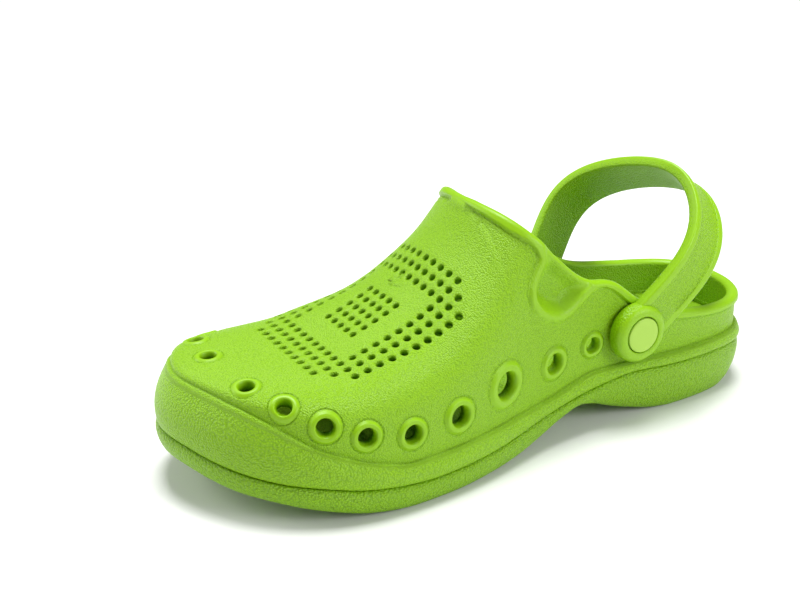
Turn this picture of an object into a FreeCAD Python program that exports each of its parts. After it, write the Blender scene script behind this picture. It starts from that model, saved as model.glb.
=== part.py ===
import FreeCAD, Part
import math
import os

# Rubber garden clog, left foot. Millimetres. +Z up, toe along -Y, outer side of the foot along +X.
# Origin: middle of the clog's bounding box on the floor.

# ---- driving dimensions -------------------------------------------------
shoe_length = 288.5          # heel to toe at the widest level
shoe_width = 107.5           # across the ball of the foot
wall_thickness = 4.5         # shell wall
seam_inset = 0.8             # the groove between sole and shell sits this far in
foot_inset = 7.5             # inside of the shell, measured in from the widest outline
footbed_thickness = 5.0
footbed_clearance = 0.4      # footbed edge to the shell wall
sole_edge_inset = 3.0        # how far the tread edge is tucked in
tread_depth = 2.5            # lugs below the sole field
motif_depth = 1.4            # ring pattern below the sole field
lug_pitch = 12.0
lug_width = 8.0
lug_taper = 0.8              # width of a lug's inner end over its outer end
lug_reach = 10.5             # how far a lug runs in from the rim
rim_width = 4.4              # flat rim round the tread
groove_width = 2.0           # wavy footbed grooves
groove_depth = 1.0
groove_pitch = 12.0
vent_diameter = 7.0
vent_dish_diameter = 14.0
vent_dish_depth = 1.6
perforation_diameter = 3.2
perforation_pitch_across = 5.43
perforation_pitch_along = 5.43
perforation_slope = 32.0     # pull direction of the pins, from upright
perforation_run = 200.6      # middle of the pattern, measured from the heel
ring_side_count = 14         # holes along each side of the square ring
block_side_count = 5         # holes along each side of the block in its middle
strap_width = 22.0
strap_thickness = 5.0
strap_end_diameter = 27.0
strap_end_thickness = 7.5
strap_reach = 74.5           # pivot axis to the outside of the strap's far end
strap_bow_outer = 7.0        # how far the outer arm bows out between pivot and far end
strap_bow_inner = 14.0       # the same on the inner arm
strap_skew = 9.0             # how far the far end leans to the outer side
strap_angle = 50.0           # raised from level, as it stands at rest
strap_twist = 14.0           # inner arm stands forward and outer arm back, as a flexed strap does
strap_edge_width = 3.5       # smooth edge left on each side of the recess
strap_rib_depth = 0.7
strap_gap = 0.3              # strap end to the shell pad
pivot_run = 84.0             # strap pivot, measured from the heel
pivot_height = 44.3
pad_diameter = 26.0
pad_thickness = 5.5          # pad face to the flat behind it
pad_rise = 0.6               # pad face out from the wall
button_diameter = 16.0
button_thickness = 1.8
button_gap = 0.2             # under the button's head
shank_diameter = 8.0
shank_clearance = 0.08       # radial, shank to strap and shell
stud_diameter = 4.0          # button stud gripped by the cap
cap_diameter = 14.0
cap_thickness = 2.0
stud_reach = 0.75            # how deep the stud goes, over the cap's thickness

# ---- station tables: (fraction of shoe_length, value) --------------------
# plan outline as fractions of length and width, heel to toe and back
OUTER_PLAN = [(0.0, 0.0), (0.010, 0.149), (0.042, 0.270), (0.114, 0.349), (0.239, 0.367),
              (0.360, 0.358), (0.464, 0.395), (0.568, 0.474), (0.672, 0.521), (0.759, 0.526),
              (0.835, 0.484), (0.898, 0.395), (0.950, 0.260), (0.984, 0.093)]
INNER_PLAN = [(1.0, -0.074), (0.991, -0.223), (0.960, -0.353), (0.898, -0.437), (0.794, -0.474),
              (0.690, -0.465), (0.586, -0.419), (0.482, -0.372), (0.360, -0.353), (0.239, -0.353),
              (0.114, -0.340), (0.042, -0.260), (0.010, -0.149)]
# underside of the tread: flat under heel and ball, arch between, toe sprung up
GROUND = [(0.0, 8.5), (0.042, 5.0), (0.069, 1.8), (0.100, 0.0), (0.200, 0.0), (0.232, 0.8),
          (0.284, 4.2), (0.319, 7.3), (0.357, 11.5), (0.385, 13.1), (0.426, 9.8),
          (0.464, 5.6), (0.516, 2.0), (0.589, 0.6), (0.641, 0.0), (0.711, 0.0),
          (0.787, 1.8), (0.825, 3.9), (0.870, 6.6), (0.915, 9.6), (0.950, 11.6),
          (0.974, 13.6), (1.0, 16.0)]
# groove where the sole meets the shell
SEAM = [(0.0, 20.7), (0.125, 22.5), (0.208, 22.6), (0.284, 23.5), (0.360, 20.7),
        (0.416, 18.1), (0.478, 15.2), (0.572, 12.1), (0.676, 11.0), (0.745, 12.2),
        (0.790, 13.6), (0.846, 16.4), (0.901, 18.8), (0.943, 21.5), (0.970, 23.8),
        (1.0, 26.5)]
# ridge on top of the bumper band
FEATHER = [(0.0, 27.9), (0.118, 28.7), (0.243, 28.8), (0.354, 28.8), (0.412, 25.5),
           (0.450, 23.2), (0.537, 22.2), (0.648, 21.1), (0.714, 20.9), (0.773, 24.4),
           (0.825, 29.8), (0.870, 35.7), (0.918, 43.8), (0.953, 48.0), (1.0, 50.5)]
# height of the shell along its middle; behind the throat it runs on above the collar cut
RIDGE = [(0.0, 200.0), (0.378, 200.0), (0.447, 141.0), (0.516, 111.0),
         (0.551, 96.5), (0.593, 84.3), (0.627, 76.0), (0.672, 68.0), (0.724, 61.5),
         (0.780, 56.2), (0.830, 55.0), (1.0, 55.0)]
# how boxy the cross-section is: 2 is an ellipse
ARCH_POWER = [(0.40, 2.0), (0.52, 1.7), (0.65, 2.0), (0.80, 4.2), (1.0, 4.2)]
FEATHER_INSET = [(0.0, 2.0), (0.85, 2.0), (0.93, 4.5), (1.0, 7.0)]
# collar line from the top of the throat, down to the wing, round the heel: (fraction, height)
COLLAR = [(0.535, 108.5), (0.470, 96.2), (0.438, 86.5), (0.364, 71.2), (0.350, 70.6),
          (0.335, 69.4), (0.282, 58.5), (0.262, 54.5), (0.235, 50.8), (0.205, 48.4),
          (0.170, 46.7), (0.125, 45.0), (0.066, 44.1), (-0.05, 44.0)]
# vents either side: (fraction of length, height, scale of the hole); one more sits at the toe
VENTS = [(0.913, 54.0, 0.9), (0.885, 50.2, 0.9), (0.842, 42.6, 1.0),
         (0.788, 36.6, 1.0), (0.719, 33.2, 1.05), (0.638, 34.2, 1.2), (0.547, 39.1, 1.6),
         (0.443, 38.8, 1.2), (0.366, 41.4, 0.95)]
RISE_POWER = 3.7             # above 2 the sides climb steeply and the top lies flat
SPINE_HEEL = 0.19
SPINE_TOE = 0.811
SPINE_LEAN = -0.02
COLUMNS = 36                 # per side of the shell

BIG = 400.0
centre_side = 0.5 * (max(x for _, x in OUTER_PLAN) + min(x for _, x in INNER_PLAN)) * shoe_width


def vector(run, side, height):
    """Point from (distance from heel, distance to the outer side, height)."""
    return FreeCAD.Vector(side - centre_side, 0.5 * shoe_length - run, height)


def ease(table, at):
    """Smooth value through a table's stations, with no overshoot between them."""
    if at <= table[0][0]:
        return table[0][1]
    if at >= table[-1][0]:
        return table[-1][1]
    k = 0
    while table[k + 1][0] < at:
        k += 1

    def slope(i):
        return (table[i + 1][1] - table[i][1]) / (table[i + 1][0] - table[i][0])

    def tangent(i):
        if i == 0 or i == len(table) - 1:
            return 0.0
        before = slope(i - 1)
        after = slope(i)
        if before * after <= 0:
            return 0.0
        w_after = table[i + 1][0] - table[i][0]
        w_before = table[i][0] - table[i - 1][0]
        return (w_after + w_before) / (w_after / before + w_before / after)

    step = table[k + 1][0] - table[k][0]
    t = (at - table[k][0]) / step
    value = (2 * t**3 - 3 * t**2 + 1) * table[k][1]
    value += (t**3 - 2 * t**2 + t) * tangent(k) * step
    value += (3 * t**2 - 2 * t**3) * table[k + 1][1]
    value += (t**3 - t**2) * tangent(k + 1) * step
    return value


def smooth_ring(points, count):
    """Points evenly spaced along a smooth closed curve through the given ones."""
    ring = Part.BSplineCurve()
    ring.interpolate([FreeCAD.Vector(a, b, 0) for a, b in points], PeriodicFlag=True)
    edge = ring.toShape()
    spaced = edge.discretize(Number=count + 1)[:count]
    return [(p.x, p.y) for p in spaced]


def plan_stations(count):
    """(run, side, outward run, outward side) round the widest outline from the heel's middle."""
    corners = [(r * shoe_length, x * shoe_width) for r, x in OUTER_PLAN + INNER_PLAN]
    ring = smooth_ring(corners, count)
    out = []
    for i in range(count):
        before = ring[i - 1]
        after = ring[(i + 1) % count]
        d_run = after[0] - before[0]
        d_side = after[1] - before[1]
        size = math.hypot(d_run, d_side)
        out.append((ring[i][0], ring[i][1], -d_side / size, d_run / size))
    return out


def moved_in(station, inset, height):
    run, side, out_run, out_side = station
    return (run - out_run * inset, side - out_side * inset, height)


def spine_run(run):
    """Where on the middle ridge the arch from this outline point ends."""
    soft = 0.05
    f = run / shoe_length
    d = f - SPINE_TOE
    f = SPINE_TOE + 0.5 * (d - math.sqrt(d * d + soft * soft))
    d = f - SPINE_HEEL
    f = SPINE_HEEL + 0.5 * (d + math.sqrt(d * d + soft * soft))
    return f * shoe_length


def spine_side(run):
    share = min(1.0, max(0.0, (run / shoe_length - 0.4) / 0.3))
    return SPINE_LEAN * shoe_width * share


def arch_point(station, angle, thickness):
    """Elliptic arch from the feather line (0 degrees) to the ridge (90), moved in by thickness."""
    f = station[0] / shoe_length
    foot = moved_in(station, ease(FEATHER_INSET, f) + 1.0 + thickness, 0.0)
    top_run = spine_run(station[0])
    top_side = spine_side(top_run)
    low = ease(FEATHER, f)
    high = ease(RIDGE, top_run / shoe_length) - thickness
    c = math.cos(math.radians(angle))**(2 / ease(ARCH_POWER, top_run / shoe_length))
    s = math.sin(math.radians(angle))**(2 / RISE_POWER)
    return (top_run + (foot[0] - top_run) * c, top_side + (foot[1] - top_side) * c,
            low + (high - low) * s)


def band_point(station, level):
    """Bumper band: level 0 at the sole groove, 1 at the feather ridge."""
    f = station[0] / shoe_length
    low = ease(SEAM, f)
    high = ease(FEATHER, f)
    bulge = 0.8 * math.sin(math.pi * level)
    inset = seam_inset * (1 - level)**4 + ease(FEATHER_INSET, f) * level**2 - bulge
    return moved_in(station, inset, low + (high - low) * level)


def half_patch(rows):
    """Smooth surface through one side's rows of control points; each row runs heel to toe."""
    across = len(rows[0])
    up = len(rows)
    poles = [[vector(*rows[j][i]) for j in range(up)] for i in range(across)]
    patch = Part.BSplineSurface()
    u_knots = [float(i) for i in range(across - 2)]
    v_knots = [float(j) for j in range(up - 2)]
    u_mults = [4] + [1] * (across - 4) + [4]
    v_mults = [4] + [1] * (up - 4) + [4]
    patch.buildFromPolesMultsKnots(poles, u_mults, v_mults, u_knots, v_knots, False, False, 3, 3)
    return patch.toShape()


def split_row(row):
    """A closed row of points, split at heel and toe middles into two clamped rows that meet there."""
    count = len(row)
    half = count // 2

    def blend(a, b, c, wa, wb, wc):
        return tuple((wa * a[k] + wb * b[k] + wc * c[k]) / (wa + wb + wc) for k in range(3))

    heel = blend(row[-1], row[0], row[1], 1, 4, 1)
    toe = blend(row[half - 1], row[half], row[half + 1], 1, 4, 1)
    outer = [heel, blend(row[0], row[1], row[1], 2, 1, 0)] + row[1:half]
    outer += [blend(row[half], row[half - 1], row[half], 2, 1, 0), toe]
    inner = [heel, blend(row[0], row[-1], row[0], 2, 1, 0)] + row[:half:-1]
    inner += [blend(row[half], row[half + 1], row[half], 2, 1, 0), toe]
    return outer, inner


def closed_solid(faces):
    skin = Part.makeCompound(faces)
    skin.sewShape(0.01)
    body = Part.Solid(skin.Shells[0])
    if body.Volume < 0:
        body.reverse()
    return body


def shell_form(thickness):
    """Solid bounded by the shell's outside (thickness 0) or by its cavity (wall thickness)."""
    stations = plan_stations(2 * COLUMNS)
    base = -12.0
    rows = []
    if thickness == 0:
        for height in (base, 0.0):
            rows.append([moved_in(p, seam_inset, height) for p in stations])
        for level in (0.0, 0.12, 0.35, 0.6, 0.85, 0.97):
            rows.append([band_point(p, level) for p in stations])
    else:
        for height in (base, 0.0):
            rows.append([moved_in(p, foot_inset, height) for p in stations])
        for level in (0.0, 0.5):
            rows.append([moved_in(p, foot_inset, band_point(p, level)[2]) for p in stations])
    for angle in (0, 1, 3, 7, 13, 21, 30, 40, 50, 60, 70, 80):
        rows.append([arch_point(p, angle, thickness) for p in stations])
    outer_rows = []
    inner_rows = []
    for row in rows:
        outer, inner = split_row(row)
        outer_rows.append(outer)
        inner_rows.append(inner)
    count = len(outer_rows[0])
    ridge_outer = []
    ridge_inner = []
    spine = []
    for i in range(count):
        run = 0.5 * (outer_rows[-1][i][0] + inner_rows[-1][i][0])
        side = spine_side(run)
        height = ease(RIDGE, run / shoe_length) - thickness
        spine.append([run, side, height])
    for i in range(count):
        reach = 0.5 * (outer_rows[-1][i][1] - inner_rows[-1][i][1]) * 0.45
        if i in (0, count - 1):
            end = outer_rows[-1][i]
            middle = (0.5 * (end[0] + spine[i][0]), end[1], spine[i][2])
            ridge_outer.append(middle)
            ridge_inner.append(middle)
        else:
            ridge_outer.append((spine[i][0], spine[i][1] + reach, spine[i][2]))
            ridge_inner.append((spine[i][0], spine[i][1] - reach, spine[i][2]))
    outer_rows.append(ridge_outer)
    inner_rows.append(ridge_inner)
    outer_rows.append(spine)
    inner_rows.append(spine)
    outer_face = half_patch(outer_rows)
    inner_face = half_patch(inner_rows)
    low_edges = [e for f in (outer_face, inner_face) for e in f.Edges if e.BoundBox.ZMax < base + 0.5]
    floor_face = Part.Face(Part.Wire(Part.sortEdges(low_edges)[0]))
    return closed_solid([outer_face, inner_face, floor_face])


def profile_wire_edges(table, offset):
    """Edges of a height profile in the plane x = 0, heel to toe, level parts kept straight."""
    stations = [(-0.15, table[0][1])] + list(table) + [(1.15, table[-1][1])]
    edges = []
    pending = []

    def point(f, height):
        return FreeCAD.Vector(-BIG / 2, (0.5 - f) * shoe_length, height + offset)

    def flush():
        if len(pending) > 1:
            curve = Part.BSplineCurve()
            curve.interpolate(list(pending))
            edges.append(curve.toShape())
        del pending[:]

    for (f0, h0), (f1, h1) in zip(stations, stations[1:]):
        if abs(h0 - h1) < 1e-9:
            flush()
            edges.append(Part.makeLine(point(f0, h0), point(f1, h1)))
            continue
        if not pending:
            pending.append(point(f0, h0))
        for share in (0.5, 1.0):
            f = f0 + (f1 - f0) * share
            pending.append(point(f, ease(table, f)))
    flush()
    return edges


def profile_region(table, offset, far_height):
    """Everything between a height profile and far_height, across the whole width."""
    edges = profile_wire_edges(table, offset)
    heel = edges[0].Vertexes[0].Point
    toe = edges[-1].Vertexes[-1].Point
    heel_far = FreeCAD.Vector(heel.x, heel.y, far_height)
    toe_far = FreeCAD.Vector(toe.x, toe.y, far_height)
    edges.append(Part.makeLine(toe, toe_far))
    edges.append(Part.makeLine(toe_far, heel_far))
    edges.append(Part.makeLine(heel_far, heel))
    face = Part.Face(Part.Wire(edges))
    return face.extrude(FreeCAD.Vector(BIG, 0, 0))


def collar_region():
    """Everything above the collar line, from the throat backwards."""
    table = sorted(COLLAR)
    points = []
    steps = 70
    for i in range(steps + 1):
        f = table[0][0] + (table[-1][0] - table[0][0]) * i / steps
        points.append(FreeCAD.Vector(-BIG / 2, (0.5 - f) * shoe_length, ease(table, f)))
    curve = Part.BSplineCurve()
    curve.interpolate(points)
    high = BIG
    heel_far = FreeCAD.Vector(points[0].x, points[0].y, high)
    toe_far = FreeCAD.Vector(points[-1].x, points[-1].y, high)
    edges = [curve.toShape(), Part.makeLine(points[-1], toe_far),
             Part.makeLine(toe_far, heel_far), Part.makeLine(heel_far, points[0])]
    return Part.Face(Part.Wire(edges)).extrude(FreeCAD.Vector(BIG, 0, 0))


def stacked_block(rows):
    """Solid through closed rows of points, the first and last rows level."""
    outer_rows = []
    inner_rows = []
    for row in rows:
        outer, inner = split_row(row)
        outer_rows.append(outer)
        inner_rows.append(inner)
    faces = [half_patch(outer_rows), half_patch(inner_rows)]
    for height in (rows[0][0][2], rows[-1][0][2]):
        level = []
        for face in faces[:2]:
            for edge in face.Edges:
                box = edge.BoundBox
                if abs(box.ZMin - height) < 0.01 and abs(box.ZMax - height) < 0.01:
                    level.append(edge)
        faces.append(Part.Face(Part.Wire(Part.sortEdges(level)[0])))
    return closed_solid(faces)


def sole_block():
    """The sole's side walls, running past its top and bottom."""
    stations = plan_stations(2 * COLUMNS)
    seams = [ease(SEAM, p[0] / shoe_length) for p in stations]
    grounds = [ease(GROUND, p[0] / shoe_length) for p in stations]
    rows = []

    def add(inset, heights):
        rows.append([moved_in(p, inset, h) for p, h in zip(stations, heights)])

    add(sole_edge_inset + 1.0, [-14.0 for _ in stations])
    add(sole_edge_inset + 0.6, [g - 3.0 for g in grounds])
    add(sole_edge_inset, [g + 0.5 for g in grounds])
    add(0.45 * sole_edge_inset, [g + 0.25 * (s - g) for g, s in zip(grounds, seams)])
    add(0.2, [g + 0.5 * (s - g) for g, s in zip(grounds, seams)])
    add(0.0, [g + 0.8 * (s - g) for g, s in zip(grounds, seams)])
    add(seam_inset, seams)
    add(seam_inset, [s + 4.0 for s in seams])
    add(seam_inset, [40.0 for _ in stations])
    return stacked_block(rows)


def upright_prism(corners, low, high):
    """Upright prism on plan corners given as (run, side)."""
    points = [vector(run, side, low) for run, side in corners]
    points.append(points[0])
    return Part.Face(Part.makePolygon(points)).extrude(FreeCAD.Vector(0, 0, high - low))


def lug_prisms():
    """Slanted blocks round the toe, the ball and the heel; none under the arch."""
    girth = 0.0
    stations = plan_stations(400)
    count = len(stations)
    lengths = [0.0]
    for i in range(count):
        here = stations[i]
        there = stations[(i + 1) % count]
        girth += math.hypot(there[0] - here[0], there[1] - here[1])
        lengths.append(girth)
    number = int(girth / lug_pitch)
    prisms = []
    for k in range(number):
        want = girth * (k + 0.5) / number
        i = 0
        while lengths[i + 1] < want:
            i += 1
        station = stations[i]
        f = station[0] / shoe_length
        if 0.30 < f < 0.47:
            continue
        run, side, out_run, out_side = station
        along_run, along_side = -out_side, out_run
        outer_edge = sole_edge_inset + rim_width - 1.0
        inner_edge = sole_edge_inset + rim_width + lug_reach
        slant = 0.25 * lug_pitch
        corners = []
        for inset, shift in ((outer_edge, -0.5), (outer_edge, 0.5), (inner_edge, 0.5), (inner_edge, -0.5)):
            lean = slant * (inset - outer_edge) / (inner_edge - outer_edge)
            width = lug_width * (1.0 if inset == outer_edge else lug_taper)
            along = shift * width + lean
            corners.append((run - out_run * inset + along_run * along,
                            side - out_side * inset + along_side * along))
        top = ease(GROUND, f) + tread_depth + 0.8
        prisms.append(upright_prism(corners, -6.0, top))
    return prisms


def ring_prism(run, side, outer_radius, inner_radius, low, high, start, sweep):
    """Part of an upright ring, from start through sweep degrees."""
    centre = vector(run, side, low)
    up = FreeCAD.Vector(0, 0, 1)
    ring = Part.makeCylinder(outer_radius, high - low, centre, up, sweep)
    core = Part.makeCylinder(inner_radius, high - low, centre, up, sweep)
    ring = ring.cut(core)
    ring.rotate(centre, up, start)
    return ring


# ring patterns on the sole: (fraction of length, side, radius)
MOTIFS = [(0.865, 4.0, 17.0), (0.745, 24.0, 15.0), (0.735, -20.0, 19.0), (0.615, 17.0, 14.0),
          (0.590, -17.0, 12.5), (0.235, -13.0, 11.0), (0.215, 14.0, 10.0), (0.125, 1.0, 13.5)]


def motif_prisms():
    """Broken outer ring, broken inner ring and a centre disc for each pattern."""
    prisms = []
    for f, side, radius in MOTIFS:
        run = f * shoe_length
        field = ease(GROUND, f) + tread_depth
        low = field - motif_depth
        high = field + 3.0
        outer_band = 0.16 * radius
        for start in (98.0, 278.0):
            prisms.append(ring_prism(run, side, radius, radius - outer_band, low, high, start, 164.0))
        middle = 0.66 * radius
        for start in (10.0, 190.0):
            prisms.append(ring_prism(run, side, middle, middle - outer_band, low, high, start, 160.0))
        prisms.append(Part.makeCylinder(0.3 * radius, high - low, vector(run, side, low)))
    return prisms


def tread_pocket():
    """The hollow inside the rim, from the ground up to the sole's field."""
    stations = plan_stations(2 * COLUMNS)
    rows = []
    for height in (-20.0, -10.0, 15.0, 30.0):
        rows.append([moved_in(p, sole_edge_inset + rim_width, height) for p in stations])
    return stacked_block(rows).common(profile_region(GROUND, tread_depth, -BIG))


def make_outsole():
    block = sole_block()
    block = block.cut(profile_region(SEAM, 0.0, BIG))
    block = block.cut(profile_region(GROUND, 0.0, -BIG))
    lugs = Part.makeCompound(lug_prisms()).cut(profile_region(GROUND, 0.0, -BIG))
    core = block.cut(tread_pocket())
    return core.fuse(lugs.Solids + motif_prisms())


def make_footbed():
    """Insole on the sole, inside the shell, with wavy grooves across it."""
    stations = plan_stations(2 * COLUMNS)
    rows = []
    for height in (-12.0, 0.0, 30.0, 60.0):
        rows.append([moved_in(p, foot_inset + footbed_clearance, height) for p in stations])
    block = stacked_block(rows)
    block = block.cut(profile_region(SEAM, 0.0, -BIG))
    block = block.cut(profile_region(SEAM, footbed_thickness, BIG))
    return block.cut(wave_grooves())


def wave_grooves():
    """Shallow grooves that wave from side to side, one after another along the footbed."""
    grooves = []
    run = 0.07 * shoe_length
    while run < 0.93 * shoe_length:
        grooves.append(wave_groove(run))
        run += groove_pitch
    return Part.makeCompound(grooves)


def wave_groove(run):
    half = min(0.30, 0.24 + 0.1 * abs(run / shoe_length - 0.4)) * shoe_width
    floor = ease(SEAM, run / shoe_length) + footbed_thickness - groove_depth
    count = 17
    front = []
    back = []
    for i in range(count):
        side = half * (2.0 * i / (count - 1) - 1.0)
        wave = 1.8 * math.sin(side / half * 3.0 * math.pi)
        front.append(vector(run + wave + groove_width / 2, side, floor))
        back.append(vector(run + wave - groove_width / 2, side, floor))
    edges = []
    for row in (front, back):
        curve = Part.BSplineCurve()
        curve.interpolate(row)
        edges.append(curve.toShape())
    edges.append(Part.makeLine(front[0], back[0]))
    edges.append(Part.makeLine(front[-1], back[-1]))
    face = Part.Face(Part.Wire(Part.sortEdges(edges)[0]))
    return face.extrude(FreeCAD.Vector(0, 0, 10.0))


def wall_place(fraction, height, side_sign):
    """Point and outward direction on the shell at a height, beside a fraction of the length."""
    stations = plan_stations(480)
    half = stations[:241] if side_sign > 0 else [stations[0]] + stations[:239:-1]
    best = None
    for station in half:
        f = station[0] / shoe_length
        top = spine_run(station[0])
        low = ease(FEATHER, f)
        high = ease(RIDGE, top / shoe_length)
        share = (height - low) / (high - low)
        if not 0.0 < share < 1.0:
            continue
        angle = math.degrees(math.asin(share**(RISE_POWER / 2)))
        here = arch_point(station, angle, 0.0)
        miss = abs(here[0] - fraction * shoe_length)
        if best is None or miss < best[0]:
            best = (miss, station, angle, here)
    station, angle, here = best[1:]
    later = arch_point(station, angle + 0.5, 0.0)
    index = stations.index(station)
    beside = arch_point(stations[(index + 1) % len(stations)], angle, 0.0)
    at = vector(*here)
    normal = (vector(*beside) - at).cross(vector(*later) - at)
    normal.normalize()
    return at, normal


def vent_cutter(at, normal, scale):
    """Hole through the wall with a wide dish round its mouth."""
    reach = 14.0
    hole = Part.makeCylinder(0.5 * vent_diameter * scale, 2 * reach, at - normal * reach, normal)
    mouth = 0.5 * vent_dish_diameter * scale
    floor = 0.5 * vent_diameter * scale + 0.6
    above = 2.0
    slope = (mouth - floor) / vent_dish_depth
    dish = Part.makeCone(floor, mouth + slope * above, vent_dish_depth + above,
                         at - normal * vent_dish_depth, normal)
    return hole.fuse(dish)


def vent_cutters():
    cutters = []
    for sign in (1, -1):
        for fraction, height, scale in VENTS:
            at, normal = wall_place(fraction, height, sign)
            if normal.x * sign < 0:
                normal = normal * -1
            cutters.append(vent_cutter(at, normal, scale))
    toe_run = 0.922 * shoe_length
    toe_at = vector(toe_run, spine_side(toe_run) - 9.0, 54.8)
    tilt = FreeCAD.Vector(0, -0.1, 1)
    tilt.normalize()
    cutters.append(vent_cutter(toe_at, tilt, 0.9))
    return cutters


def in_ring(i, j):
    """Whether a place of the square has a hole: the ring is three wide and its corners are clipped."""
    edge_i = min(i, ring_side_count - 1 - i)
    edge_j = min(j, ring_side_count - 1 - j)
    return (min(edge_i, edge_j) < 3) and (edge_i + edge_j >= 2)


def perforation_places():
    """(towards the toe, to the side) of every small hole, from the pattern's middle."""
    places = []
    for count, wanted in ((ring_side_count, in_ring), (block_side_count, None)):
        middle = 0.5 * (count - 1)
        for i in range(count):
            for j in range(count):
                if wanted is None or wanted(i, j):
                    places.append(((i - middle) * perforation_pitch_along,
                                   (j - middle) * perforation_pitch_across))
    return places


def perforation_cutters():
    """Parallel pins through the instep, at right angles to the pattern's sloping plane."""
    slope = math.radians(perforation_slope)
    up = FreeCAD.Vector(0, -math.sin(slope), math.cos(slope))
    toeward = FreeCAD.Vector(0, -math.cos(slope), -math.sin(slope))
    across = FreeCAD.Vector(1, 0, 0)
    centre = vector(perforation_run, 0.0, ease(RIDGE, perforation_run / shoe_length))
    half_length = 24.0
    pins = []
    for along, sideways in perforation_places():
        start = centre + toeward * along + across * sideways - up * half_length
        pins.append(Part.makeCylinder(0.5 * perforation_diameter, 2 * half_length, start, up))
    return pins


def pad_plane(sign):
    """Outer face of the rivet pad, measured to the side."""
    at, _ = wall_place(pivot_run / shoe_length, pivot_height, sign)
    return at.x + sign * pad_rise


def pivot_point(x):
    return FreeCAD.Vector(x, 0.5 * shoe_length - pivot_run, pivot_height)


def along_x(radius, x_from, x_to):
    """Round bar on the pivot axis between two x planes."""
    low = min(x_from, x_to)
    return Part.makeCylinder(radius, abs(x_to - x_from), pivot_point(low), FreeCAD.Vector(1, 0, 0))


def make_shell():
    outside = shell_form(0.0)
    for sign in (1, -1):
        plane = pad_plane(sign)
        outside = outside.fuse(along_x(0.5 * pad_diameter, plane - sign * 4.0, plane))
    cavity = shell_form(wall_thickness)
    for sign in (1, -1):
        plane = pad_plane(sign)
        behind = plane - sign * pad_thickness
        flat = along_x(0.5 * pad_diameter - 2.0, behind, behind - sign * 6.0)
        cavity = cavity.fuse(flat)
    shell = outside.cut(cavity)
    shell = shell.cut(profile_region(SEAM, 0.0, -BIG))
    shell = shell.cut(collar_region())
    shell = shell.cut(Part.makeCompound(vent_cutters()))
    bore = 0.5 * shank_diameter + shank_clearance
    shell = shell.cut(along_x(bore, -BIG / 4, BIG / 4))
    shell = shell.cut(Part.makeCompound(perforation_cutters()))
    return shell


def strap_path(offset, count):
    """Line along the strap: (x, distance back from the pivot axis, rise out of its plane)."""
    right = pad_plane(1) + strap_gap + 0.5 * strap_thickness
    left = pad_plane(-1) - strap_gap - 0.5 * strap_thickness
    middle = 0.5 * (right + left)
    half = 0.5 * (right - left)
    reach = strap_reach - 0.5 * strap_thickness
    line = []
    for i in range(count):
        turn = math.pi * i / (count - 1)
        c = math.cos(turn)
        s = max(math.sin(turn), 0.0)
        bow = strap_bow_outer if c > 0 else strap_bow_inner
        arm = half + bow * math.sin(2 * turn)**2
        line.append((middle + arm * c + strap_skew * s**3, reach * s, -strap_twist * c * s))
    out = []
    for i in range(count):
        before = line[max(i - 1, 0)]
        after = line[min(i + 1, count - 1)]
        dx = after[0] - before[0]
        dy = after[1] - before[1]
        if i in (0, count - 1):
            dx, dy = 0.0, (1.0 if i == 0 else -1.0)
        size = math.hypot(dx, dy)
        out.append((line[i][0] + dy / size * offset, line[i][1] - dx / size * offset, line[i][2]))
    return out


def strap_band(outer_offset, inner_offset, width, first, last, count):
    """Twisted ribbon between two offsets from the strap's line: four ruled faces and two flat ends."""
    corners = []
    for offset, rise in ((outer_offset, 0.5), (inner_offset, 0.5), (inner_offset, -0.5), (outer_offset, -0.5)):
        row = strap_path(offset, count)[first:last]
        corners.append([FreeCAD.Vector(x, y, z + rise * width) for x, y, z in row])
    edges = []
    for row in corners:
        curve = Part.BSplineCurve()
        curve.interpolate(row)
        edges.append(curve.toShape())
    faces = [Part.makeRuledSurface(edges[k], edges[(k + 1) % 4]) for k in range(4)]
    for end in (0, -1):
        ring = [row[end] for row in corners]
        ring.append(ring[0])
        faces.append(Part.Face(Part.makePolygon(ring)))
    return closed_solid(faces)


def make_strap():
    """Band round the heel with round ends; built level behind the axis, then raised."""
    count = 61
    half = strap_thickness / 2
    strap = strap_band(half, -half, strap_width, 0, count, count)
    recess = strap_band(half + 3.0, half - strap_rib_depth, strap_width - 2 * strap_edge_width,
                        10, count - 10, count)
    strap = strap.cut(recess)
    x_axis = FreeCAD.Vector(1, 0, 0)
    for sign in (1, -1):
        inner = pad_plane(sign) + sign * strap_gap
        low = min(inner, inner + sign * strap_end_thickness)
        base = FreeCAD.Vector(low, 0, 0)
        end = Part.makeCylinder(0.5 * strap_end_diameter, strap_end_thickness, base, x_axis)
        strap = strap.fuse(end)
    for sign in (1, -1):
        face = pad_plane(sign) + sign * (strap_gap + strap_end_thickness)
        depth = button_thickness
        low = min(face - sign * depth, face + sign * 5.0)
        base = FreeCAD.Vector(low, 0, 0)
        sink = Part.makeCylinder(0.5 * button_diameter + button_gap, depth + 5.0, base, x_axis)
        strap = strap.cut(sink)
    bore_start = FreeCAD.Vector(-BIG / 2, 0, 0)
    bore = Part.makeCylinder(0.5 * shank_diameter + shank_clearance, BIG, bore_start, x_axis)
    strap = strap.cut(bore)
    strap.rotate(FreeCAD.Vector(0, 0, 0), x_axis, strap_angle)
    strap.translate(pivot_point(0.0))
    return strap.removeSplitter()


def button_planes(sign):
    """Head top, head underside, shank end, stud end: x planes of one rivet."""
    face = pad_plane(sign) + sign * (strap_gap + strap_end_thickness)
    under = face - sign * (button_thickness - button_gap)
    top = under + sign * button_thickness
    shank_end = pad_plane(sign) - sign * (pad_thickness + button_gap)
    stud_end = shank_end - sign * cap_thickness * stud_reach
    return top, under, shank_end, stud_end


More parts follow.
